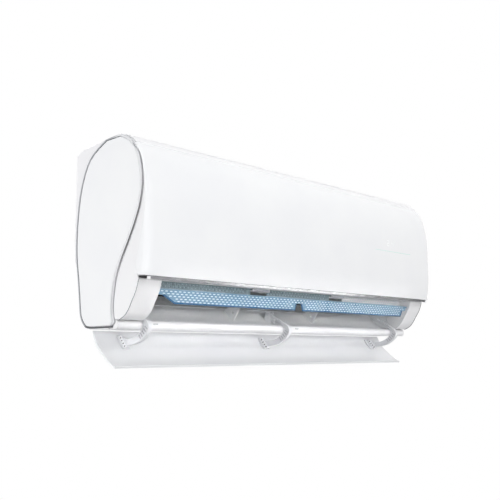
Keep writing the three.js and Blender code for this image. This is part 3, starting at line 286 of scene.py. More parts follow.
def banded_metal(name, axis, reach, first, greys, last, tint, streaks, rough, metal):
    """Smooth metal whose grey changes along one axis, from -reach to reach."""
    look, tree, place = start_finish(name)
    along = add_node(tree, "ShaderNodeSeparateXYZ", {"Vector": place})[axis]
    between = [(position, linear(grey, grey, grey + tint)) for position, grey in greys]
    streak = noise(tree, place, *streaks)
    return end_finish(look, {
        "Base Color": colours(tree, spread(tree, along, 0.0, 1.0, -reach, reach), [
            (0.0, linear(*first)), *between, (1.0, linear(*last))]),
        "Roughness": spread(tree, streak, rough, rough + 0.1),
        "Normal": raised(tree, streak, 0.1, 0.00003), "Metallic": metal,
    })


def zinc_sheet(name):
    """Zinc-coated sheet with its spangle."""
    look, tree, place = start_finish(name)
    flake = add_node(tree, "ShaderNodeTexVoronoi", {"Vector": place, "Scale": 320.0})
    tone = two_tone(tree, flake["Color"], linear(182, 186, 190), linear(204, 208, 211), 0.2, 0.8)
    return end_finish(look, {
        "Base Color": tone, "Roughness": spread(tree, flake["Distance"], 0.32, 0.5, 0.0, 0.6),
        "Normal": raised(tree, flake["Distance"], 0.2, 0.00006), "Metallic": 0.9,
    })


def speckled_wall(name):
    """The outlet's upper wall: grey lining with fine dark and pale specks, and larger patches of a middle
    grey.
    """
    look, tree, place = start_finish(name)
    speck = noise(tree, place, 520.0, 2.0, 0.7)
    patch = noise(tree, place, 60.0)
    tone = two_tone(tree, speck, linear(96, 116, 124), linear(196, 208, 212), 0.4, 0.66)
    return end_finish(look, {
        "Base Color": blend(tree, spread(tree, patch, 0.0, 0.6), tone, linear(140, 156, 162)),
        "Roughness": 0.8, "Normal": raised(tree, speck, 0.6, 0.0004),
    })


def green_board(name):
    """Circuit board: green lacquer over tracks that run square to each other."""
    look, tree, place = start_finish(name)
    turned = add_node(tree, "ShaderNodeMapping", {"Vector": place, "Rotation": (math.radians(90), 0, 0)})
    tracks = add_node(tree, "ShaderNodeTexBrick", {
        "Vector": turned["Vector"], "Scale": 60.0, "Mortar Size": 0.03, "Color1": linear(22, 84, 52),
        "Color2": linear(30, 96, 60), "Mortar": linear(86, 150, 96)})
    return end_finish(look, {
        "Base Color": tracks["Color"], "Roughness": 0.35, "Normal": raised(tree, tracks["Fac"], 0.3, 0.0001),
    })


def trim_metal(name):
    """Satin trim with painted light: pale down its front branch and grey along the wall side, a painted
    reflection, and dark underneath, a painted shade.
    """
    look, tree, place = start_finish(name)
    parts = add_node(tree, "ShaderNodeSeparateXYZ", {"Vector": place})
    # painted reflection: the trim's grey goes from pale at the front to darker towards the wall
    painted_reflection_to_wall = spread(tree, parts["Y"], 0.0, 1.0, -0.125, -0.105)
    # painted shade: the trim turns dark along the bottom, under the cap
    under = spread(tree, parts["Z"], 1.0, 0.0, -0.161, -0.157)
    tone = two_tone(tree, painted_reflection_to_wall, linear(232, 233, 235), linear(176, 178, 182), 0.0, 1.0)
    brushed = noise(tree, place, 900.0, 3.0, 0.6, (0.2, 1, 1))
    return end_finish(look, {
        "Base Color": blend(tree, under, tone, linear(96, 98, 102)),
        "Roughness": spread(tree, brushed, 0.3, 0.42),
        "Normal": raised(tree, brushed, 0.15, 0.00003), "Metallic": 0.75,
    })


def line_metal(name):
    """The dark line along the trim, its grey painted shade: darkest half way down and fading out at its
    foot.
    """
    greys = ((0.16, 220), (0.27, 186), (0.35, 116), (0.46, 84), (0.62, 124), (0.8, 196))
    return banded_metal(
        name, "Z", 0.16, (226, 227, 229), greys, (214, 215, 218), 3, (800.0, 2.0), 0.26, 0.0)


def strip_metal(name):
    """The strip under the panel, with a painted reflection: bright along the middle and darker towards both
    ends.
    """
    greys = ((0.17, 168), (0.27, 240), (0.62, 242), (0.72, 152), (0.88, 132))
    streaks = (700.0, 2.0, 0.5, (0.05, 1, 1))
    return banded_metal(name, "X", 0.43, (142, 142, 146), greys, (74, 76, 80), 2, streaks, 0.2, 0.6)


PLASTICS = {
    # name: (light, dark, roughness, grain, depth, and coat if it has one)
    "case_white": ((245, 245, 246), (241, 241, 243), 0.38, 1100.0, 0.3),
    "arm_white": ((240, 241, 243), (234, 235, 238), 0.36, 900.0, 0.25),
    "gloss_white": ((246, 247, 248), (243, 244, 246), 0.2, 260.0, 0.06, 0.5),
    "rib_white": ((250, 250, 251), (246, 246, 248), 0.4, 900.0, 0.2),
    # painted shade: the white ribs' plastic greyed for the arms' pockets
    "rib_shade": ((196, 197, 200), (186, 187, 191), 0.5, 900.0, 0.3),
    "duct_grey": ((250, 251, 252), (246, 247, 249), 0.42, 1000.0, 0.3),
    "vane_grey": ((196, 206, 211), (184, 196, 202), 0.45, 900.0, 0.3),
    "louvre_blue": ((124, 158, 182), (110, 147, 174), 0.3, 700.0, 0.2),
    # painted shade and painted highlight: the deep blue and pale blue of the louvre's edge beads
    "louvre_deep": ((58, 106, 148), (46, 90, 132), 0.28, 700.0, 0.2, 0.2),
    "louvre_pale": ((190, 212, 226), (178, 204, 220), 0.3, 700.0, 0.2),
    # painted light where it fills the louvre's slots
    "slot_pale": ((226, 238, 242), (214, 230, 236), 0.42, 700.0, 0.2),
    "post_grey": ((214, 214, 221), (206, 206, 214), 0.4, 900.0, 0.2),
    # painted shade: dark marks for the slots in the flap arms' pads
    "slot_dark": ((64, 66, 70), (50, 52, 56), 0.55, 700.0, 0.3),
    "guard_teal": ((176, 194, 200), (162, 182, 189), 0.45, 800.0, 0.3),
    "net_grey": ((120, 126, 130), (106, 112, 117), 0.55, 800.0, 0.3),
    "tab_pale": ((230, 232, 234), (222, 224, 227), 0.4, 800.0, 0.3),
    "bumper_grey": ((206, 207, 210), (192, 193, 197), 0.7, 600.0, 0.5),
    "fan_dark": ((58, 68, 72), (46, 56, 60), 0.5, 800.0, 0.4),
    "black_plastic": ((36, 38, 40), (28, 30, 32), 0.48, 900.0, 0.4),
    "rubber_black": ((30, 30, 31), (22, 22, 23), 0.72, 600.0, 0.6),
    "foam_grey": ((188, 190, 192), (168, 170, 173), 0.85, 420.0, 0.9),
    "strip_black": ((20, 20, 22), (14, 14, 16), 0.4, 700.0, 0.1),
    "display_pale": ((251, 253, 253), (247, 251, 251), 0.25, 400.0, 0.05, 0.3),
    "display_teal": ((218, 240, 235), (230, 246, 243), 0.25, 400.0, 0.05, 0.3),
}
METALS = {
    # name: (light, dark, roughness, stretch, scale, metallic)
    "edging": ((176, 178, 182), (156, 158, 163), 0.3, (0.2, 1, 1), 400.0, 0.7),
    # painted shade: the cheek edging darkened for the right end
    "edging_dark": ((112, 114, 118), (96, 98, 102), 0.34, (0.2, 1, 1), 400.0, 0.2),
    "shaft_steel": ((196, 198, 200), (172, 174, 178), 0.34, (14, 1, 1), 240.0, 1.0),
    "fin_aluminium": ((178, 200, 208), (152, 180, 192), 0.36, (1, 12, 1), 240.0, 1.0),
    "copper": ((206, 132, 96), (176, 102, 70), 0.3, (0.1, 1, 1), 160.0, 1.0),
    "brass": ((206, 182, 112), (182, 156, 88), 0.3, (1, 8, 8), 160.0, 1.0),
}
SPECIAL = {
    "silver_trim": trim_metal, "dark_strip": strip_metal, "trim_line": line_metal,
    "galvanised_steel": zinc_sheet, "board_green": green_board, "flocked": speckled_wall,
}


def make_finishes():
    made = {name: special(name) for name, special in SPECIAL.items()}
    for maker, table in ((moulded_plastic, PLASTICS), (drawn_metal, METALS)):
        for name, (light, dark, *rest) in table.items():
            made[name] = maker(name, linear(*light), linear(*dark), *rest)
    return made


# ---- pieces from solids

SHARP = math.radians(32)  # a sharper edge than this keeps its corner


def settle(work, name, finish, body):
    """Turns a bmesh into a shaded piece that rides on a body."""
    mesh = bpy.data.meshes.new(name)
    for face in work.faces:
        face.smooth = True
    for edge in work.edges:
        edge.smooth = len(edge.link_faces) == 2 and edge.calc_face_angle(0.0) < SHARP
    work.to_mesh(mesh)
    work.free()
    mesh.materials.append(FINISH[finish])
    piece = add_object(name, mesh)
    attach(piece, body)
    return piece


def stand_in(piece, node):
    """Hides a solid, so that the piece made for it shows in its place."""
    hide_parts(node)


def fill_from(work, node):
    """A solid's own shape, with its loose triangles joined."""
    work.from_mesh(NODES[node].data)
    bmesh.ops.remove_doubles(work, verts=work.verts, dist=1e-6)


def shaded(node, finish=None, name=None, draw_in=None):
    """Stands a smoothly shaded copy in for a solid; draw_in may move its points."""
    work = bmesh.new()
    fill_from(work, node)
    if draw_in:
        for vert in work.verts:
            draw_in(vert)
    stand_in(settle(work, name or f"{node}_shell", finish or SLOT[node], BODY[node]), node)


# ---- small shapes

OUTWARD = Matrix.Rotation(math.radians(-90), 3, "Z")  # turns +X to point out from the wall


def circle(sides):
    """The angles of a circle's points."""
    return [2 * math.pi * i / sides for i in range(sides)]


def skin(work, rings, capped=True):
    """Joins rings of points in turn with faces, and closes both ends."""
    for first, second in zip(rings, rings[1:]):
        for i in range(len(first)):
            j = (i + 1) % len(first)
            work.faces.new((first[i], first[j], second[j], second[i]))
    if capped:
        work.faces.new(list(reversed(rings[0])))
        work.faces.new(rings[-1])


def prism(work, outline, x0, x1):
    """A section outline drawn out along X and closed at both ends."""
    skin(work, [[work.verts.new(at(x, d, h)) for d, h in outline] for x in (x0, x1)])


def bar(work, centre, x0, x1, wide, high):
    """A bar of rectangular section along X."""
    d, h = centre
    half_d, half_h = wide / 2, high / 2
    prism(work, [(d - half_d, h - half_h), (d + half_d, h - half_h), (d + half_d, h + half_h),
                 (d - half_d, h + half_h)], x0, x1)


def revolve(work, profile, sides, centre=Vector(), turn=Matrix.Identity(3), lobes=()):
    """A profile of (radius, along) in mm turned about X; rings named in lobes get four corners."""
    rings = []
    for step, (radius, along) in enumerate(profile):
        ring = []
        for angle in circle(sides):
            reach = radius * (1 + 0.45 * math.cos(4 * angle)) if step in lobes else radius
            spot = Vector((along, reach * math.cos(angle), reach * math.sin(angle))) * MM
            ring.append(work.verts.new(centre + turn @ spot))
        rings.append(ring)
    skin(work, rings)


def capsule(work, length, width, low, high, turn):
    """A slot's shape, long along X and `low` to `high` along its own outward direction."""
    sides = 6
    rim = []
    for end in (1, -1):
        for i in range(sides + 1):
            angle = math.pi * (i / sides - 0.5)
            rim.append((end * ((length - width) / 2 + width / 2 * math.cos(angle)),
                        end * width / 2 * math.sin(angle)))
    skin(work, [[work.verts.new(turn @ (Vector((x, -out, z)) * MM)) for x, z in rim] for out in (low, high)])


def ring_plate(work, inner, outer, half, sides):
    """A flat ring about X, closed round its section."""
    rings = []
    for radius, along in ((inner, -half), (outer, -half), (outer, half), (inner, half)):
        rings.append([work.verts.new(Vector((along, radius * math.cos(a), radius * math.sin(a))) * MM)
                      for a in circle(sides)])
    skin(work, rings + rings[:1], capped=False)


def filled(draw):
    work = bmesh.new()
    draw(work)
    bmesh.ops.recalc_face_normals(work, faces=work.faces)
    return work


def make(name, finish, body, draw):
    """A piece of its own that draw fills."""
    settle(filled(draw), name, finish, body)


# ---- node trees

PATTERNS = []  # shapes and places that the trees read, removed at the end


def pattern(name, draw):
    """A shape for a tree to copy: draw fills a bmesh with it."""
    mesh = bpy.data.meshes.new(name)
    work = filled(draw)
    work.to_mesh(mesh)
    work.free()
    PATTERNS.append(add_object(name, mesh))
    return PATTERNS[-1]


def places(name, points, joined=False):
    """Points for a tree to put copies on, or the line that a bead follows."""
    mesh = bpy.data.meshes.new(name)
    edges = [(i, i + 1) for i in range(len(points) - 1)] if joined else []
    mesh.from_pydata([tuple(point) for point in points], edges, [])
    PATTERNS.append(add_object(name, mesh))
    return PATTERNS[-1]


def start_tree(name, sockets):
    tree = bpy.data.node_groups.new(name, "GeometryNodeTree")
    for label, kind in sockets + [("Finish", "Material")]:
        tree.interface.new_socket(label, in_out="INPUT", socket_type=f"NodeSocket{kind}")
    tree.interface.new_socket("Mesh", in_out="OUTPUT", socket_type="NodeSocketGeometry")
    return tree, tree.nodes.new("NodeGroupInput").outputs


def end_tree(tree, given, copies):
    real = add_node(tree, "GeometryNodeRealizeInstances", {"Geometry": copies})["Geometry"]
    done = add_node(tree, "GeometryNodeSetMaterial", {"Geometry": real, "Material": given["Finish"]})
    add_node(tree, "NodeGroupOutput", {"Mesh": done["Geometry"]})
    return tree


def drawn(tree, source):
    """The shape of an object that a tree is given."""
    return add_node(tree, "GeometryNodeObjectInfo", {"Object": source})["Geometry"]


def line_of(tree, count, first, step):
    """Points along a straight line."""
    inputs = {"Count": count, "Start Location": first, "Offset": step}
    return add_node(tree, "GeometryNodeMeshLine", inputs, mode="OFFSET")["Mesh"]


def copies_on(tree, points, shape, **turn):
    inputs = {"Points": points, "Instance": shape, **turn}
    return add_node(tree, "GeometryNodeInstanceOnPoints", inputs)["Instances"]


def turn_by_number(tree, angle, start=0.0):
    """A turn about X that grows by the same angle from each copy to the next."""
    inputs = {0: add_node(tree, "GeometryNodeInputIndex", {})["Index"], 1: angle, 2: start}
    grown = add_node(tree, "ShaderNodeMath", inputs, operation="MULTIPLY_ADD")["Value"]
    euler = add_node(tree, "ShaderNodeCombineXYZ", {"X": grown})["Vector"]
    return add_node(tree, "FunctionNodeEulerToRotation", {"Euler": euler})["Rotation"]


def rows_tree():
    """Copies in straight rows, every other row shifted: slats, fins, wires, studs."""
    tree, given = start_tree("rows_of_copies", [
        ("Shape", "Object"), ("Count", "Int"), ("Step", "Vector"), ("Rows", "Int"), ("Row Step", "Vector"),
        ("Stagger", "Vector"),
    ])
    first = line_of(tree, given["Count"], (0, 0, 0), given["Step"])
    row = copies_on(tree, first, drawn(tree, given["Shape"]))
    number = add_node(tree, "GeometryNodeInputIndex", {})["Index"]
    odd = add_node(tree, "ShaderNodeMath", {0: number, 1: 2.0}, operation="MODULO")["Value"]
    aside = add_node(tree, "ShaderNodeVectorMath", {0: given["Stagger"], "Scale": odd}, operation="SCALE")
    starts = line_of(tree, given["Rows"], (0, 0, 0), given["Row Step"])
    moved = add_node(tree, "GeometryNodeSetPosition", {"Geometry": starts, "Offset": aside["Vector"]})
    return end_tree(tree, given, copies_on(tree, moved["Geometry"], row))


def wheel_tree():
    """Copies turned about an axis along X, in sections that follow each other along it."""
    tree, given = start_tree("turned_copies", [
        ("Shape", "Object"), ("Count", "Int"), ("Angle", "Float"), ("Start Angle", "Float"),
        ("Centre", "Vector"), ("Sections", "Int"), ("Section Step", "Vector"), ("Skew", "Float"),
    ])
    turn = turn_by_number(tree, given["Angle"], given["Start Angle"])
    hub = line_of(tree, given["Count"], (0, 0, 0), (0, 0, 0))
    wheel = copies_on(tree, hub, drawn(tree, given["Shape"]), Rotation=turn)
    centres = line_of(tree, given["Sections"], given["Centre"], given["Section Step"])
    skew = turn_by_number(tree, given["Skew"])
    return end_tree(tree, given, copies_on(tree, centres, wheel, Rotation=skew))


def spots_tree():
    """Copies on given points: screws, plugs, slots, bumpers."""
    tree, given = start_tree("copies_on_places", [("Places", "Object"), ("Shape", "Object")])
    return end_tree(tree, given, copies_on(tree, drawn(tree, given["Places"]), drawn(tree, given["Shape"])))


def holes_tree():
    """A body with a shape cut out of it at each place."""
    sockets = [("Stock", "Object"), ("Places", "Object"), ("Shape", "Object")]
    tree, given = start_tree("cuts_at_places", sockets)
    cutters = copies_on(tree, drawn(tree, given["Places"]), drawn(tree, given["Shape"]))
    real = add_node(tree, "GeometryNodeRealizeInstances", {"Geometry": cutters})["Geometry"]
    inputs = {0: drawn(tree, given["Stock"]), 1: real}
    left = add_node(tree, "GeometryNodeMeshBoolean", inputs, operation="DIFFERENCE", solver="EXACT")["Mesh"]
    return end_tree(tree, given, left)


def bead_tree():
    """A round bead along a line: edgings and raised lines."""
    tree, given = start_tree("bead_on_line", [("Line", "Object"), ("Radius", "Float"), ("Sides", "Int")])
    curve = add_node(tree, "GeometryNodeMeshToCurve", {"Mesh": drawn(tree, given["Line"])})["Curve"]
    inputs = {"Resolution": given["Sides"], "Radius": given["Radius"]}
    ring = add_node(tree, "GeometryNodeCurvePrimitiveCircle", inputs, mode="RADIUS")["Curve"]
    inputs = {"Curve": curve, "Profile Curve": ring, "Fill Caps": True}
    return end_tree(tree, given, add_node(tree, "GeometryNodeCurveToMesh", inputs)["Mesh"])


def grow(name, tree, finish, body, **values):
    """Runs a tree and keeps what it makes as one plain piece that rides on a body."""
    host = add_object(name, bpy.data.meshes.new(name))
    step = host.modifiers.new(name, "NODES")
    step.node_group = tree
    values["finish"] = FINISH[finish]
    for item in tree.interface.items_tree:
        if item.in_out == "INPUT":
            step[item.identifier] = values[item.name.lower().replace(" ", "_")]
    bpy.context.view_layer.update()
    grown = host.evaluated_get(bpy.context.evaluated_depsgraph_get())
    work = bmesh.new()
    work.from_mesh(bpy.data.meshes.new_from_object(grown))
    bpy.data.objects.remove(host)
    return settle(work, name, finish, body)


def row_of(name, finish, body, draw, count, step, rows=1, row_step=(0, 0, 0), stagger=(0, 0, 0)):
    """Copies of one shape in straight rows."""
    return grow(name, ROWS, finish, body, shape=pattern(f"{name}_shape", draw), count=count, step=step,
                rows=rows, row_step=row_step, stagger=stagger)


def wheel_of(name, finish, body, draw, axis, count, angle, start=0.0, sections=1, pitch=0.0, skew=0.0):
    """Copies of one shape round an axis along X."""
    return grow(name, WHEEL, finish, body, shape=pattern(f"{name}_shape", draw), count=count, angle=angle,
                start_angle=start, centre=tuple(at(0, *axis)), sections=sections,
                section_step=(pitch * MM, 0, 0), skew=skew)


def scatter(name, finish, body, draw, points):
    """Copies of one shape at given points."""
    shape = pattern(f"{name}_shape", draw)
    grow(name, SPOTS, finish, body, shape=shape, places=places(f"{name}_at", points))


def cut(name, finish, body, stock, draw, points):
    """A body with one shape cut out of it at given points."""
    return grow(name, HOLES, finish, body, stock=pattern(f"{name}_stock", stock),
                shape=pattern(f"{name}_shape", draw), places=places(f"{name}_at", points))


def bead(name, finish, body, points, radius, sides=8):
    """A round bead along a line of points."""
    line = places(f"{name}_path", points, joined=True)
    grow(name, BEAD, finish, body, line=line, radius=radius * MM, sides=sides)


# ---- louvre

LOUVRE_AXIS = (167.0, 66.0)
LOUVRE_LEAN = math.radians(13)
LOUVRE_TURN = Matrix.Rotation(LOUVRE_LEAN, 4, "X")
LOUVRE_FACE = 1.3  # half its thickness
LOUVRE_END = 383.0
SLOT_ROWS = (1.4, 5.6, 9.8, 14.0, 18.2)  # down the blade from its axis
SLOT_PITCH = 10.2
SLOT_SIZE = (6.2, 2.0)
SLOT_DEEP = 0.8
SLOT_ENDS = (7.0, 6.0)  # from the blade's ends to the first slot, and at least to the last
SLOT_CLEAR = (7.5, 2.2)  # from a slot's middle to the blade's outline: along it and down it
PLUG_SIZE = (5.9, 1.7)
# The blade's lower outline, left to right: X, and how far down the blade.
LOUVRE_LOW = [
    (-371, 8.2), (-344.2, 22), (-24, 22), (-23, 8.2), (-5, 8.2), (2.4, 22), (366.3, 22), (369, 8.2),
]
BEAD_LOW = 21.2  # the lower beads' middle, where the blade is deepest


def on_louvre(x, down, out=0.0):
    d0, h0 = LOUVRE_AXIS
    sine, cosine = math.sin(LOUVRE_LEAN), math.cos(LOUVRE_LEAN)
    return at(x, d0 - down * sine + out * cosine, h0 - down * cosine - out * sine)


def low_edge(x):
    """How far down the blade its lower outline is, at a place along it."""
    for (x0, down0), (x1, down1) in zip(LOUVRE_LOW, LOUVRE_LOW[1:]):
        if x0 <= x <= x1:
            return down0 + (down1 - down0) * (x - x0) / (x1 - x0)
    return LOUVRE_LOW[0][1]


def slot_spots():
    """Places of the louvre's slots, clear of its cut-outs; every other row is shifted."""
    along, below = SLOT_CLEAR
    first, last = SLOT_ENDS
    spots = []
    for row, down in enumerate(SLOT_ROWS):
        x = -LOUVRE_END + first + (row % 2) * SLOT_PITCH / 2
        while x < LOUVRE_END - last:
            if down + below <= min(low_edge(x - along), low_edge(x + along)):
                spots.append(on_louvre(x, down, LOUVRE_FACE))
            x += SLOT_PITCH
    return spots


def dress_louvre():
    """The blade with its slots cut, pale plugs of painted light in the slots, and beads along its edges:
    deep blue painted shade along the lower edge and a pale painted highlight along the top.
    """
    blade = cut("louvre_slotted_blade", "louvre_blue", "louvre", lambda work: fill_from(work, "louvre"),
                lambda work: capsule(work, *SLOT_SIZE, -SLOT_DEEP, 0.6, LOUVRE_TURN), slot_spots())
    stand_in(blade, "louvre")
    # painted light: pale plugs at the bottom of the slots stand in for the lit duct seen through open slots
    scatter("louvre_slot_plugs", "slot_pale", "louvre", lambda work: capsule(
        work, *PLUG_SIZE, -SLOT_DEEP - 0.1, -0.3, LOUVRE_TURN), slot_spots())
    # painted shade: the deep blue beads along the lower edge; painted highlight: the pale bead along the top
    low = [on_louvre(x, min(down, BEAD_LOW), 0.5) for x, down in LOUVRE_LOW]
    for name, line in (("left", low[:4]), ("right", low[4:])):
        bead(f"louvre_lower_bead_{name}", "louvre_deep", "louvre", line, 1.9, 10)
    top = [on_louvre(x, -1.4) for x in (-LOUVRE_END + 1, LOUVRE_END - 1)]
    bead("louvre_upper_bead", "louvre_pale", "louvre", top, 1.35, 10)


# ---- outlet

GUARD_BAYS = {
    # side: (X at both ends, finishes of its wires and of the lining behind them); the right bay's white
    # wires and lining are painted light, lighter than the other bays
    "left": (-385.0, -142.0, "guard_teal", "flocked"),
    "middle": (-94.0, 105.0, "guard_teal", "flocked"),
    "right": (153.0, 385.0, "rib_white", "rib_white"),
}
GUARD_D = 151.5
GUARD_H = (71.0, 95.0)
GUARD_PITCH = 4.4
GUARD_WIRE = 0.9
LINING_D = (GUARD_D - 1.6, GUARD_D - 0.8)
STUD = [(1.0, 0.3), (1.0, 0.9), (0.55, 1.4)]
STUD_ROWS = 4
LEDGE_AT = (61.6, 47.4)  # a step across the duct's lower wall
LEDGE_END = 386.0
POST_X = (-118.0, 129.0)
POST_HALF = 23.0
POST_FACE = [(133.6, 79.0), (133.8, 77.6), (158.4, 77.6), (160.4, 91.0), (159.4, 91.2), (157.6, 79.0)]
POST_EDGE = [(133.8, 77.6), (158.2, 77.6), (160.4, 90)]
DIVIDER_X = (-125.0, 122.0)
DIVIDER_EDGE = [(90, 21.6), (107, 47), (104, 58)]
EAR_X = (-22.3, -9.7)
EAR_EDGE = [(85, 42.6), (94, 42.6), (98, 19.4)]
BUMPER = [(1.2, -5), (1.7, -4.6), (1.8, 0), (1.7, 4.6), (1.2, 5)]
BUMPER_X = (-356.0, 24.0)
BUMPER_AT = (128.4, 9.4)


def dress_guard(side, x0, x1, wire, lining):
    """A mesh guard with small pale studs that hangs behind the louvre's upper edge."""
    low, high = GUARD_H
    inner, outer = LINING_D
    sideways = (GUARD_PITCH * MM, 0, 0)
    row_of(f"guard_uprights_{side}", wire, "unit", lambda work: bar(
        work, (GUARD_D, (low + high) / 2), x0, x0 + GUARD_WIRE, GUARD_WIRE, high - low),
        int((x1 - x0) / GUARD_PITCH) + 1, sideways)
    row_of(f"guard_crossings_{side}", wire, "unit", lambda work: bar(
        work, (GUARD_D + 0.3, low + 0.6), x0, x1, GUARD_WIRE, GUARD_WIRE),
        int((high - low) / GUARD_PITCH) + 1, (0, 0, GUARD_PITCH * MM))
    make(f"guard_lining_{side}", lining, "unit", lambda work: prism(
        work, [(inner, low), (outer, low), (outer, high), (inner, high)], x0, x1))
    row_of(f"guard_studs_{side}", "slot_pale", "unit", lambda work: revolve(
        work, STUD, 8, at(x0 + 3, GUARD_D, low + 3.0), OUTWARD),
        int((x1 - x0 - 6) / (2 * GUARD_PITCH)), (2 * GUARD_PITCH * MM, 0, 0), STUD_ROWS,
        (0, 0, 1.2 * GUARD_PITCH * MM), sideways)


def edge_beads(name, spots, line, radius):
    """The same short bead at several places along X."""
    for i, x in enumerate(spots):
        bead(f"{name}_{i}", "rib_white", "unit", [at(x, d, h) for d, h in line], radius)


def dress_duct():
    """The guards over the louvre, the edges on the duct's lower wall and the bumpers on the lip."""
    for side, bay in GUARD_BAYS.items():
        dress_guard(side, *bay)
    bead("duct_ledge", "rib_white", "unit", [at(x, *LEDGE_AT) for x in (-LEDGE_END, LEDGE_END)], 0.7)
    for i, x in enumerate(POST_X):
        make(f"post_face_{i}", "post_grey", "unit", lambda work: prism(
            work, POST_FACE, x - POST_HALF - 0.2, x + POST_HALF + 0.2))
        for side, edge_x in (("left", x - POST_HALF), ("right", x + POST_HALF)):
            bead(f"post_edge_{i}_{side}", "rib_white", "unit", [at(edge_x, d, h) for d, h in POST_EDGE], 1.3)
    edge_beads("divider_edge", DIVIDER_X, DIVIDER_EDGE, 1.3)
    edge_beads("ear_edge", EAR_X, EAR_EDGE, 0.9)
    scatter("lip_bumpers", "bumper_grey", "unit", lambda work: revolve(work, BUMPER, 12), [
        at(x, *BUMPER_AT) for x in BUMPER_X])


# ---- flap arms

FLAP_AXIS = (89.5, 38.0)
ARM_LEFT_FACE = {"left": -385.5, "middle": -20.0, "right": 374.0}
ARM_PAD = [(71.2, -8.6), (66.4, -12.8), (82.9, -31.8), (87.7, -27.6)]
ARM_SLOTS = [(70.8, -13.4), (74.9, -18.1), (79.0, -22.8), (83.1, -27.5)]
ARM_SLOT_REACH = (1.9, 0.9)  # half its length and half its width
ARM_SLOT_LEAN = math.radians(20)
PAD_THICK = 0.7
RIB_RADII = (54.9, 62.6)
RIB_X = (0.5, 2.1)  # from the arm's left face
RIB_HALF = 0.4
RIB_COUNT = 5
RIB_STEP = math.radians(5.5)
RIB_START = math.radians(36)


def arm_slot_outline():
    """A short slot's outline about the origin, lying across the pad."""
    long, short = ARM_SLOT_REACH
    sine, cosine = math.sin(ARM_SLOT_LEAN), math.cos(ARM_SLOT_LEAN)
    return [(long * math.cos(a) * cosine - short * math.sin(a) * sine,
             HALF_HEIGHT + long * math.cos(a) * sine + short * math.sin(a) * cosine) for a in circle(12)]


def rib_outline():
    """A thin rib that points away from the axis through the origin, straight out from the wall."""
    inner, outer = RIB_RADII
    low, high = HALF_HEIGHT - RIB_HALF, HALF_HEIGHT + RIB_HALF
    return [(inner, low), (outer, low), (outer, high), (inner, high)]


def dress_arm(side, x):
    """A flap arm, with a pad on its left face marked with dark slots of painted shade, and ribs along its
    curve greyed with painted shade.
    """
    shaded(f"flap_arm_{side}", "arm_white")
    pad = x - PAD_THICK
    make(f"arm_pad_{side}", "rib_white", "flap", lambda work: prism(work, ARM_PAD, pad, x + 0.2))
    scatter(f"arm_slots_{side}", "slot_dark", "flap", lambda work: prism(
        work, arm_slot_outline(), pad - 0.15, pad + 0.1), [at(0, d, h) for d, h in ARM_SLOTS])
    wheel_of(f"arm_ribs_{side}", "rib_shade", "flap", lambda work: prism(
        work, rib_outline(), *(x + reach for reach in RIB_X)), FLAP_AXIS, RIB_COUNT, RIB_STEP, RIB_START)


# ---- fan and coil

FAN_AXIS = (84.0, 136.0)
FAN_RADIUS = 45.9
FAN_BORE = 33.0
FAN_X = (-372.0, 290.0)
FAN_SECTIONS = 8
FAN_PITCH = (FAN_X[1] - FAN_X[0]) / FAN_SECTIONS
FAN_SKEW = math.radians(4)  # from each section to the next
FAN_SIDES = 40
DISC_HALF = 0.8
BLADES = 36
BLADE_RADII = (35.0, FAN_RADIUS - 0.6)
BLADE_HALF = 0.55
BLADE_SWING = 9.0  # degrees that a blade curves round from its root to its tip
BLADE_STEPS = 4


def blade_outline():
    """One curved blade, at the top of the wheel, drawn about the origin."""
    root, tip = BLADE_RADII
    outer, inner = [], []
    for i in range(BLADE_STEPS + 1):
        reach = root + (tip - root) * i / BLADE_STEPS
        swing = math.radians(BLADE_SWING * (i / BLADE_STEPS) ** 1.6)
        for side, edge in ((BLADE_HALF, outer), (-BLADE_HALF, inner)):
            tilt = swing + side / reach
            edge.append((reach * math.sin(tilt), HALF_HEIGHT + reach * math.cos(tilt)))
    return outer + inner[::-1]


def fan_ends(work):
    """The fan's two end plates: a stub at the left, and a hub for the motor's shaft."""
    x0, x1 = FAN_X
    centre = at(0, *FAN_AXIS)
    revolve(work, [(3.8, x0 - 14), (4, x0 - 13.5), (4, x0 - 1), (14, x0 - 0.4), (16, x0), (FAN_RADIUS, x0),
                   (FAN_RADIUS, x0 + 1.6), (4, x0 + 1.6)], FAN_SIDES, centre)
    revolve(work, [(5, x1 - 15), (11.6, x1 - 15), (12, x1 - 14.5), (12, x1 - 2), (FAN_RADIUS, x1 - 1.6),
                   (FAN_RADIUS, x1), (12, x1), (11.5, x1 - 0.4)], FAN_SIDES, centre)


def dress_fan():
    x0 = FAN_X[0]
    blades = wheel_of("fan_blades", "fan_dark", "fan", lambda work: prism(
        work, blade_outline(), x0 + 1, x0 + FAN_PITCH - 0.4), FAN_AXIS, BLADES, 2 * math.pi / BLADES, 0.0,
        FAN_SECTIONS, FAN_PITCH, FAN_SKEW)
    scatter("fan_discs", "fan_dark", "fan", lambda work: ring_plate(
        work, FAN_BORE, FAN_RADIUS, DISC_HALF, FAN_SIDES), [
        at(x0 + FAN_PITCH * i, *FAN_AXIS) for i in range(1, FAN_SECTIONS)])
    make("fan_end_plates", "fan_dark", "fan", fan_ends)
    stand_in(blades, "cross_flow_fan")


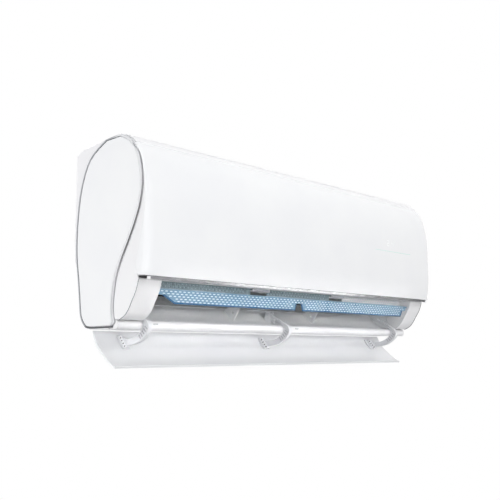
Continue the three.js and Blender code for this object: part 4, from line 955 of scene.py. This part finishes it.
COILS = {
    "coil_front_lower": ((151.0, 126.0), (143.0, 204.0)),
    "coil_front_upper": ((140.5, 214.0), (94.0, 294.0)),
    "coil_rear": ((66.0, 287.0), (35.0, 208.0)),
}
COIL_X = (-392.0, 288.0)
COIL_HALF = 11.8
FIN_PITCH = 2.0
FIN_THICK = 0.35
FIN_WAVES = 6
FIN_WAVE_DEEP = 0.7
TUBE_RADIUS = 3.2
TUBE_SIDES = 8
TUBE_ROWS = (-5.5, 5.5)  # either side of the coil's middle plane
HAIRPIN_FIRST = 10.0
HAIRPIN_PITCH = 21.0
HAIRPIN_SPAN = 16.0
HAIRPIN_CLEAR = 3.0  # from the last tube to the coil's end, at least
HAIRPIN_REACH = 8.0
HAIRPIN_STEPS = 8


def fin_outline(line):
    """A fin's outline, with the small waves of its long edges."""
    front, rear = [], []
    for i in range(FIN_WAVES + 1):
        run = length_of(line) * i / FIN_WAVES
        reach = COIL_HALF - (0.0 if i % 2 else FIN_WAVE_DEEP)
        front.append(on_line(line, run, reach))
        rear.append(on_line(line, run, -reach))
    return front + rear[::-1]


def bend(work, first, second, x):
    """A hairpin of tube from one hole to the next, standing out along X."""
    (d0, h0), (d1, h1) = first, second
    middle = Vector((0, -(d0 + d1) / 2, (h0 + h1) / 2 - HALF_HEIGHT))
    arm = Vector((0, -(d1 - d0) / 2, (h1 - h0) / 2))
    side = Vector((-1.0, 0, 0))
    across = arm.cross(side).normalized()
    rings = []
    for i in range(HAIRPIN_STEPS + 1):
        angle = math.pi * i / HAIRPIN_STEPS
        centre = middle - arm * math.cos(angle) + side * (HAIRPIN_REACH * math.sin(angle))
        centre += Vector((x, 0, 0))
        out = (-arm.normalized() * math.cos(angle) + side * math.sin(angle)).normalized()
        rings.append([work.verts.new(
            (centre + out * (TUBE_RADIUS * math.cos(a)) + across * (TUBE_RADIUS * math.sin(a))) * MM)
            for a in circle(TUBE_SIDES)])
    skin(work, rings)


def tube(work, centre, x0, x1):
    d, h = centre
    prism(work, [(d + TUBE_RADIUS * math.cos(a), h + TUBE_RADIUS * math.sin(a)) for a in circle(TUBE_SIDES)],
          x0, x1)


def dress_coil(name, line):
    """A coil's fins, with tubes through them and hairpins that join the tubes at the left."""
    x0, x1 = COIL_X
    fins = row_of(f"{name}_fins", "fin_aluminium", "unit", lambda work: prism(
        work, fin_outline(line), x0, x0 + FIN_THICK), int((x1 - x0) / FIN_PITCH), (FIN_PITCH * MM, 0, 0))
    stand_in(fins, name)
    room = length_of(line) - HAIRPIN_FIRST - HAIRPIN_SPAN - HAIRPIN_CLEAR
    runs = [HAIRPIN_FIRST + HAIRPIN_PITCH * i for i in range(math.ceil(room / HAIRPIN_PITCH))]

    def hairpins(work):
        for run in runs:
            for side in TUBE_ROWS:
                bend(work, on_line(line, run, side), on_line(line, run + HAIRPIN_SPAN, side), x0 - 2.2)

    def tubes(work):
        for run in runs:
            for side in TUBE_ROWS:
                for step in (0, HAIRPIN_SPAN):
                    tube(work, on_line(line, run + step, side), x0 - 2.4, x1 + 2.0)

    make(f"{name}_hairpins", "copper", "unit", hairpins)
    make(f"{name}_tubes", "copper", "unit", tubes)


# ---- filters

FILTERS = {"filter_left": (-388.0, -60.0), "filter_right": (-44.0, 284.0)}
FILTER_LINE = ((166.2, 120.0), (149.5, 316.0))  # foot and head of its middle plane
NET_RUN = (4.0, 191.0)
NET_PITCH = 3.2
NET_WIRE = 0.5
# Outlines of the grip tab and its ribs: up the filter's plane, and out from it.
TAB = [(195.0, -1.2), (203.5, -1.0), (203.5, 1.0), (195.0, 1.2)]
TAB_RIB = [(0.0, 0.8), (1.0, 0.8), (0.8, 1.7), (0.2, 1.7)]
TAB_RIB_RUNS = (197.5, 199.7, 201.9)
TAB_HALF = 32.0


def filter_bar(work, outline, x0, x1):
    prism(work, [on_line(FILTER_LINE, run, out) for run, out in outline], x0, x1)


def net_wire(work, x0, x1, run0, run1):
    half = NET_WIRE / 2
    filter_bar(work, [(run0, -half), (run1, -half), (run1, half), (run0, half)], x0, x1)


def grip_tab(work, x0, x1):
    """The tab that a finger lifts the filter by, with its grip ribs."""
    filter_bar(work, TAB, x0, x1)
    for start in TAB_RIB_RUNS:
        filter_bar(work, [(start + run, out) for run, out in TAB_RIB], x0 + 2, x1 - 2)


def dress_filter(name, x0, x1):
    """A filter's frame, the net across it and its grip tab."""
    shaded(name)
    low, high = NET_RUN
    row_of(f"{name}_net_uprights", "net_grey", name, lambda work: net_wire(
        work, x0 + 3, x0 + 3 + NET_WIRE, low, high), int((x1 - x0 - 6) / NET_PITCH), (NET_PITCH * MM, 0, 0))
    rise = at(0, *on_line(FILTER_LINE, NET_PITCH, 0.0)) - at(0, *FILTER_LINE[0])
    row_of(f"{name}_net_crossings", "net_grey", name, lambda work: net_wire(
        work, x0 + 2, x1 - 2, low, low + NET_WIRE), int((high - low) / NET_PITCH), tuple(rise))
    middle = (x0 + x1) / 2
    make(f"{name}_tab", "tab_pale", name, lambda work: grip_tab(work, middle - TAB_HALF, middle + TAB_HALF))


# ---- the panel's marks

DIGIT_X = {"2": 256.0, "4": 274.0}
DIGIT_LOW = 199.0
DIGIT_HIGH = 12.0
DIGIT_WIDE = 7.0
STROKE = 1.5
# Strokes of each digit on a grid one wide and two high.
STROKES = {
    "2": [((0, 2), (1, 2)), ((1, 2), (1, 1)), ((1, 1), (0, 1)), ((0, 1), (0, 0)), ((0, 0), (1, 0))],
    "4": [((0, 2), (0, 1)), ((0, 1), (1, 1)), ((1, 2), (1, 1)), ((1, 1), (1, 0))],
}
DEGREE_X = 285.0
DEGREE_SIDE = 2.6
DEGREE_STROKE = 0.9
LINE_X = (207.0, 352.0)
LINE_H = 186.7
LINE_WIDE = 1.4
FAR_OUT = 300.0  # well in front of the panel
PROUD = 0.22  # how far the marks stand off the panel
SUNK = 0.4  # how far they reach into it
MARK_STEPS = 6


def depth_of_panel(x, h):
    """How far out the panel's front stands at a place on it."""
    place, _, _, _ = PANEL_TREE.ray_cast(at(x, FAR_OUT, h), Vector((0, 1, 0)))
    return -place.y / MM


def mark(work, start, end, width):
    """A stroke printed on the panel, following its curve, from one (x, h) to another."""
    run = Vector((end[0] - start[0], end[1] - start[1]))
    side = Vector((-run.y, run.x)).normalized() * (width / 2)
    rows = []
    for i in range(MARK_STEPS + 1):
        x, h = start[0] + run.x * i / MARK_STEPS, start[1] + run.y * i / MARK_STEPS
        row = []
        for sign in (1, -1):
            px, ph = x + side.x * sign, h + side.y * sign
            d = depth_of_panel(px, ph)
            row.append((work.verts.new(at(px, d + PROUD, ph)), work.verts.new(at(px, d - SUNK, ph))))
        rows.append(row)
    for (a, b), (c, e) in zip(rows, rows[1:]):
        work.faces.new((a[0], b[0], e[0], c[0]))
        work.faces.new((a[1], c[1], e[1], b[1]))
        work.faces.new((a[0], c[0], c[1], a[1]))
        work.faces.new((b[0], b[1], e[1], e[0]))
    for a, b in (rows[0], rows[-1]):
        work.faces.new((a[0], a[1], b[1], b[0]))


def draw_digits(work):
    """Two digits and the degree mark after them."""
    for text, x in DIGIT_X.items():
        for stroke in STROKES[text]:
            start, end = ((x + a * DIGIT_WIDE, DIGIT_LOW + b * DIGIT_HIGH / 2) for a, b in stroke)
            mark(work, start, end, STROKE)
    top = DIGIT_LOW + DIGIT_HIGH
    right, low = DEGREE_X + DEGREE_SIDE, top - DEGREE_SIDE
    corners = [(DEGREE_X, top), (right, top), (right, low), (DEGREE_X, low)]
    for start, end in zip(corners, corners[1:] + corners[:1]):
        mark(work, start, end, DEGREE_STROKE)


# ---- trims and front

TRIM_FACE = 439.5
TRIM_LINE = [
    (128, 328.5), (158, 313), (177.5, 284), (186, 244), (182, 208), (170, 176.5), (153, 145), (135, 115),
    (121.5, 86), (114.7, 51.5), (114.5, 28), (119, 12),
]
LINE_OUT = 2.0  # the dark line runs this far outside the trim's front edge
LINE_INSIDE = 0.6  # and this far inside its face
BUTTON_BACK = -0.1725  # the back of the emergency button, clear of the duct's upper wall


def smooth_line(points, steps):
    """A smooth line through points, as the trim's own is drawn."""
    line = []
    ends = [points[0], *points, points[-1]]
    for before, start, end, after in zip(ends, ends[1:], ends[2:], ends[3:]):
        for i in range(steps):
            t = i / steps
            line.append(tuple(
                0.5 * (2 * b + (c - a) * t + (2 * a - 5 * b + 4 * c - e) * t * t
                       + (3 * b - a - 3 * c + e) * t * t * t)
                for a, b, c, e in zip(before, start, end, after)))
    return line + [points[-1]]


def draw_trim_in(vert):
    vert.co.x = max(-TRIM_FACE * MM, min(TRIM_FACE * MM, vert.co.x))


def draw_button_in(vert):
    vert.co.y = min(BUTTON_BACK, vert.co.y)


def dress_trim(side, sign):
    """The trim, its face drawn in a little, and the dark line of painted shade along its front branch."""
    shaded(f"{side}_trim", draw_in=draw_trim_in)
    path = [at(sign * (TRIM_FACE - LINE_INSIDE), d + LINE_OUT, h) for d, h in smooth_line(TRIM_LINE, 6)]
    bead(f"{side}_trim_line", "trim_line", "unit", path, 1.05, 10)


CHEEK_EDGE = [
    (180.0, 80.0), (177.3, 70.5), (174.0, 62.0), (169.4, 53.6), (164.0, 46.0), (159.2, 37.6), (154.0, 30.3),
    (149.4, 25.2), (144.0, 21.0), (137.8, 17.7), (131.0, 15.5),
]
CHEEK_X = 436.2
ENDS = {"left": (-1, "edging"), "right": (1, "edging_dark")}  # side: (sign of X, finish of its cheek's edge); the right's darker edging is painted shade
PLUG_X = (438.4, 431.0)
PLUG_OUTER = [(182, 84.4), (188, 84.0), (184, 81.6)]
PLUG_INNER = [(182, 84.4), (195.4, 84.2), (194.8, 80.0), (188, 80.0)]
CLIP = [(194.0, 83.4), (197.0, 83.4), (196.4, 78.2), (193.6, 78.6)]
CLIP_X = (425.4, 431.2)
FLAP_LIP = (116.6, -61.4)
FLAP_LIP_END = 431.0
FACE_SCREWS_X = (-262.0, 4.0, 262.0)
FACE_SCREWS_AT = (174.2, 103.0)
SCREW_RADIUS = 4.2
# A screw's head: shares of its radius, and how far out; its first three rings are the recess.
SCREW_HEAD = [(0.2, 0.9), (0.3, 1.0), (0.34, 1.7), (0.7, 1.6), (0.95, 1.0), (1, 0.4), (1, -0.6)]


def end_plug(work, sign):
    """The strip's end plug, thin at the panel's flank and as deep as the strip inside."""
    for x, outline in zip(PLUG_X, (PLUG_OUTER, PLUG_INNER)):
        for d, h in outline:
            work.verts.new(at(sign * x, d, h))
    bmesh.ops.convex_hull(work, input=work.verts)


def screw_head(work):
    """A pan head with a cross recess, its axis straight out from the wall."""
    profile = [(SCREW_RADIUS * share, out) for share, out in SCREW_HEAD]
    revolve(work, profile, 24, turn=OUTWARD, lobes=(0, 1, 2))


def dress_front():
    """The panel's marks, the strip's ends, the cheeks' and flap's edges, and the frame's screws."""
    make("display_digits", "display_pale", "front_panel", draw_digits)
    make("display_line", "display_teal", "front_panel", lambda work: mark(
        work, (LINE_X[0], LINE_H), (LINE_X[1], LINE_H), LINE_WIDE))
    for side, (sign, edging) in ENDS.items():
        make(f"strip_plug_{side}", "strip_black", "front_panel", lambda work: end_plug(work, sign))
        make(f"strip_clip_{side}", "rib_white", "front_panel", lambda work: prism(
            work, CLIP, *sorted(sign * x for x in CLIP_X)))
        bead(f"cheek_edging_{side}", edging, "unit", [at(sign * CHEEK_X, d, h) for d, h in CHEEK_EDGE], 0.8)
    lip = [at(x, *FLAP_LIP) for x in (-FLAP_LIP_END, FLAP_LIP_END)]
    bead("flap_lip", "gloss_white", "flap", lip, 1.4, 12)
    screws = [at(x, *FACE_SCREWS_AT) for x in FACE_SCREWS_X]
    scatter("face_screws", "shaft_steel", "unit", screw_head, screws)


# ---- top and back

SLAT_HALF_X = 396.0
SLAT_RISE = 0.105  # the top's slope
SLAT_PITCH = 4.6
SLAT = [(0, -2.6), (1.0, -2.6), (1.2, -0.4), (0.8, 0), (0.2, 0)]
GRILLE_ROWS = {"front": (60.6, 324.0, 10), "rear": (28.4, 320.4, 5)}  # first slat's d and h, and how many
PLATE_HOLE = [(2.4, -1.0), (2.4, 1.6)]
PLATE_HOLES_H = (152.0, 222.0, 264.0)
PLATE_HOLES_X = range(-350, 351, 20)
HOOKS_X = (-300, -180, -60, 60, 180, 300)
HOOKS_LOW = 200.0
HOOK_CLEAR = 12.0
GROOVES_H = (187.0, 217.0)
GROOVES_X = (-240, -120, 0, 120, 240)
GROOVE_SIZE = (84.0, 6.0)
# kind: (centre, outer radius, inner radius, X at both ends)
SLEEVES = {"gas": ((23.0, 58.0), 8.6, 5.2, (10.0, 226.0)), "liquid": ((26.0, 34.0), 7.0, 3.6, (40.0, 226.0))}


def dress_top():
    for side, (d0, h0, count) in GRILLE_ROWS.items():
        row_of(f"grille_slats_{side}", "case_white", "unit", lambda work: prism(
            work, [(d0 + d, h0 + h) for d, h in SLAT], -SLAT_HALF_X, SLAT_HALF_X),
            count, (0, -SLAT_PITCH * MM, SLAT_PITCH * SLAT_RISE * MM))


def plate_spots():
    """Places of the wall plate's holes, clear of its hooks."""
    return [at(x, 0, h) for h in PLATE_HOLES_H for x in PLATE_HOLES_X
            if h < HOOKS_LOW or min(abs(x - hook) for hook in HOOKS_X) > HOOK_CLEAR]


def sleeve(work, centre, outer, inner, ends):
    """A foam tube along X with rounded ends."""
    x0, x1 = ends
    revolve(work, [(inner, x0), (outer - 0.6, x0), (outer, x0 + 0.8), (outer, x1 - 0.8), (outer - 0.6, x1),
                   (inner, x1)], 28, at(0, *centre))


def dress_back():
    """The wall plate, drilled and then grooved, and the foam sleeves of the pipes."""
    drilled = cut(
        "wall_plate_drilled", "galvanised_steel", "unit", lambda work: fill_from(work, "wall_plate"),
        lambda work: revolve(work, PLATE_HOLE, 10, turn=OUTWARD), plate_spots())
    sheet = cut(
        "wall_plate_sheet", "galvanised_steel", "unit", lambda work: work.from_mesh(drilled.data),
        lambda work: capsule(work, *GROOVE_SIZE, -1.0, 0.5, Matrix.Identity(4)),
        [at(x, 0, h) for h in GROOVES_H for x in GROOVES_X])
    bpy.data.objects.remove(drilled)
    stand_in(sheet, "wall_plate")
    for kind, measures in SLEEVES.items():
        make(f"{kind}_pipe_sleeve", "foam_grey", "unit", lambda work: sleeve(work, *measures))


# ---- the whole unit

bpy.context.scene.view_settings.view_transform = "Standard"
set_camera()
set_world()
set_floor()
set_lamps()
FINISH = make_finishes()
ROWS, WHEEL, SPOTS, HOLES, BEAD = rows_tree(), wheel_tree(), spots_tree(), holes_tree(), bead_tree()

for node_name, solid in NODES.items():
    solid.data.materials.clear()
    solid.data.materials.append(FINISH[SLOT[node_name]])

panel_shape = bmesh.new()
panel_shape.from_mesh(NODES["front_panel"].data)
PANEL_TREE = BVHTree.FromBMesh(panel_shape)
panel_shape.free()

SMOOTH = [
    "rear_chassis", "front_frame", "outlet_frame", "top_grille", "left_end_cap", "right_end_cap",
    "front_panel", "panel_strip", "outlet_lip", "air_duct", "flap", "gas_pipe", "liquid_pipe", "fan_motor",
    "drain_port", "motor_clamp",
]
for node_name in SMOOTH:
    shaded(node_name)
shaded("duct_top", "flocked")
dress_louvre()
dress_duct()
for arm_side, arm_face in ARM_LEFT_FACE.items():
    dress_arm(arm_side, arm_face)
dress_fan()
for coil_name, coil_line in COILS.items():
    dress_coil(coil_name, coil_line)
for filter_name, (filter_x0, filter_x1) in FILTERS.items():
    dress_filter(filter_name, filter_x0, filter_x1)
for end, (end_sign, _) in ENDS.items():
    dress_trim(end, end_sign)
dress_front()
shaded("emergency_button", name="emergency_button_cap", draw_in=draw_button_in)
dress_top()
dress_back()
for shape in PATTERNS:
    bpy.data.objects.remove(shape)
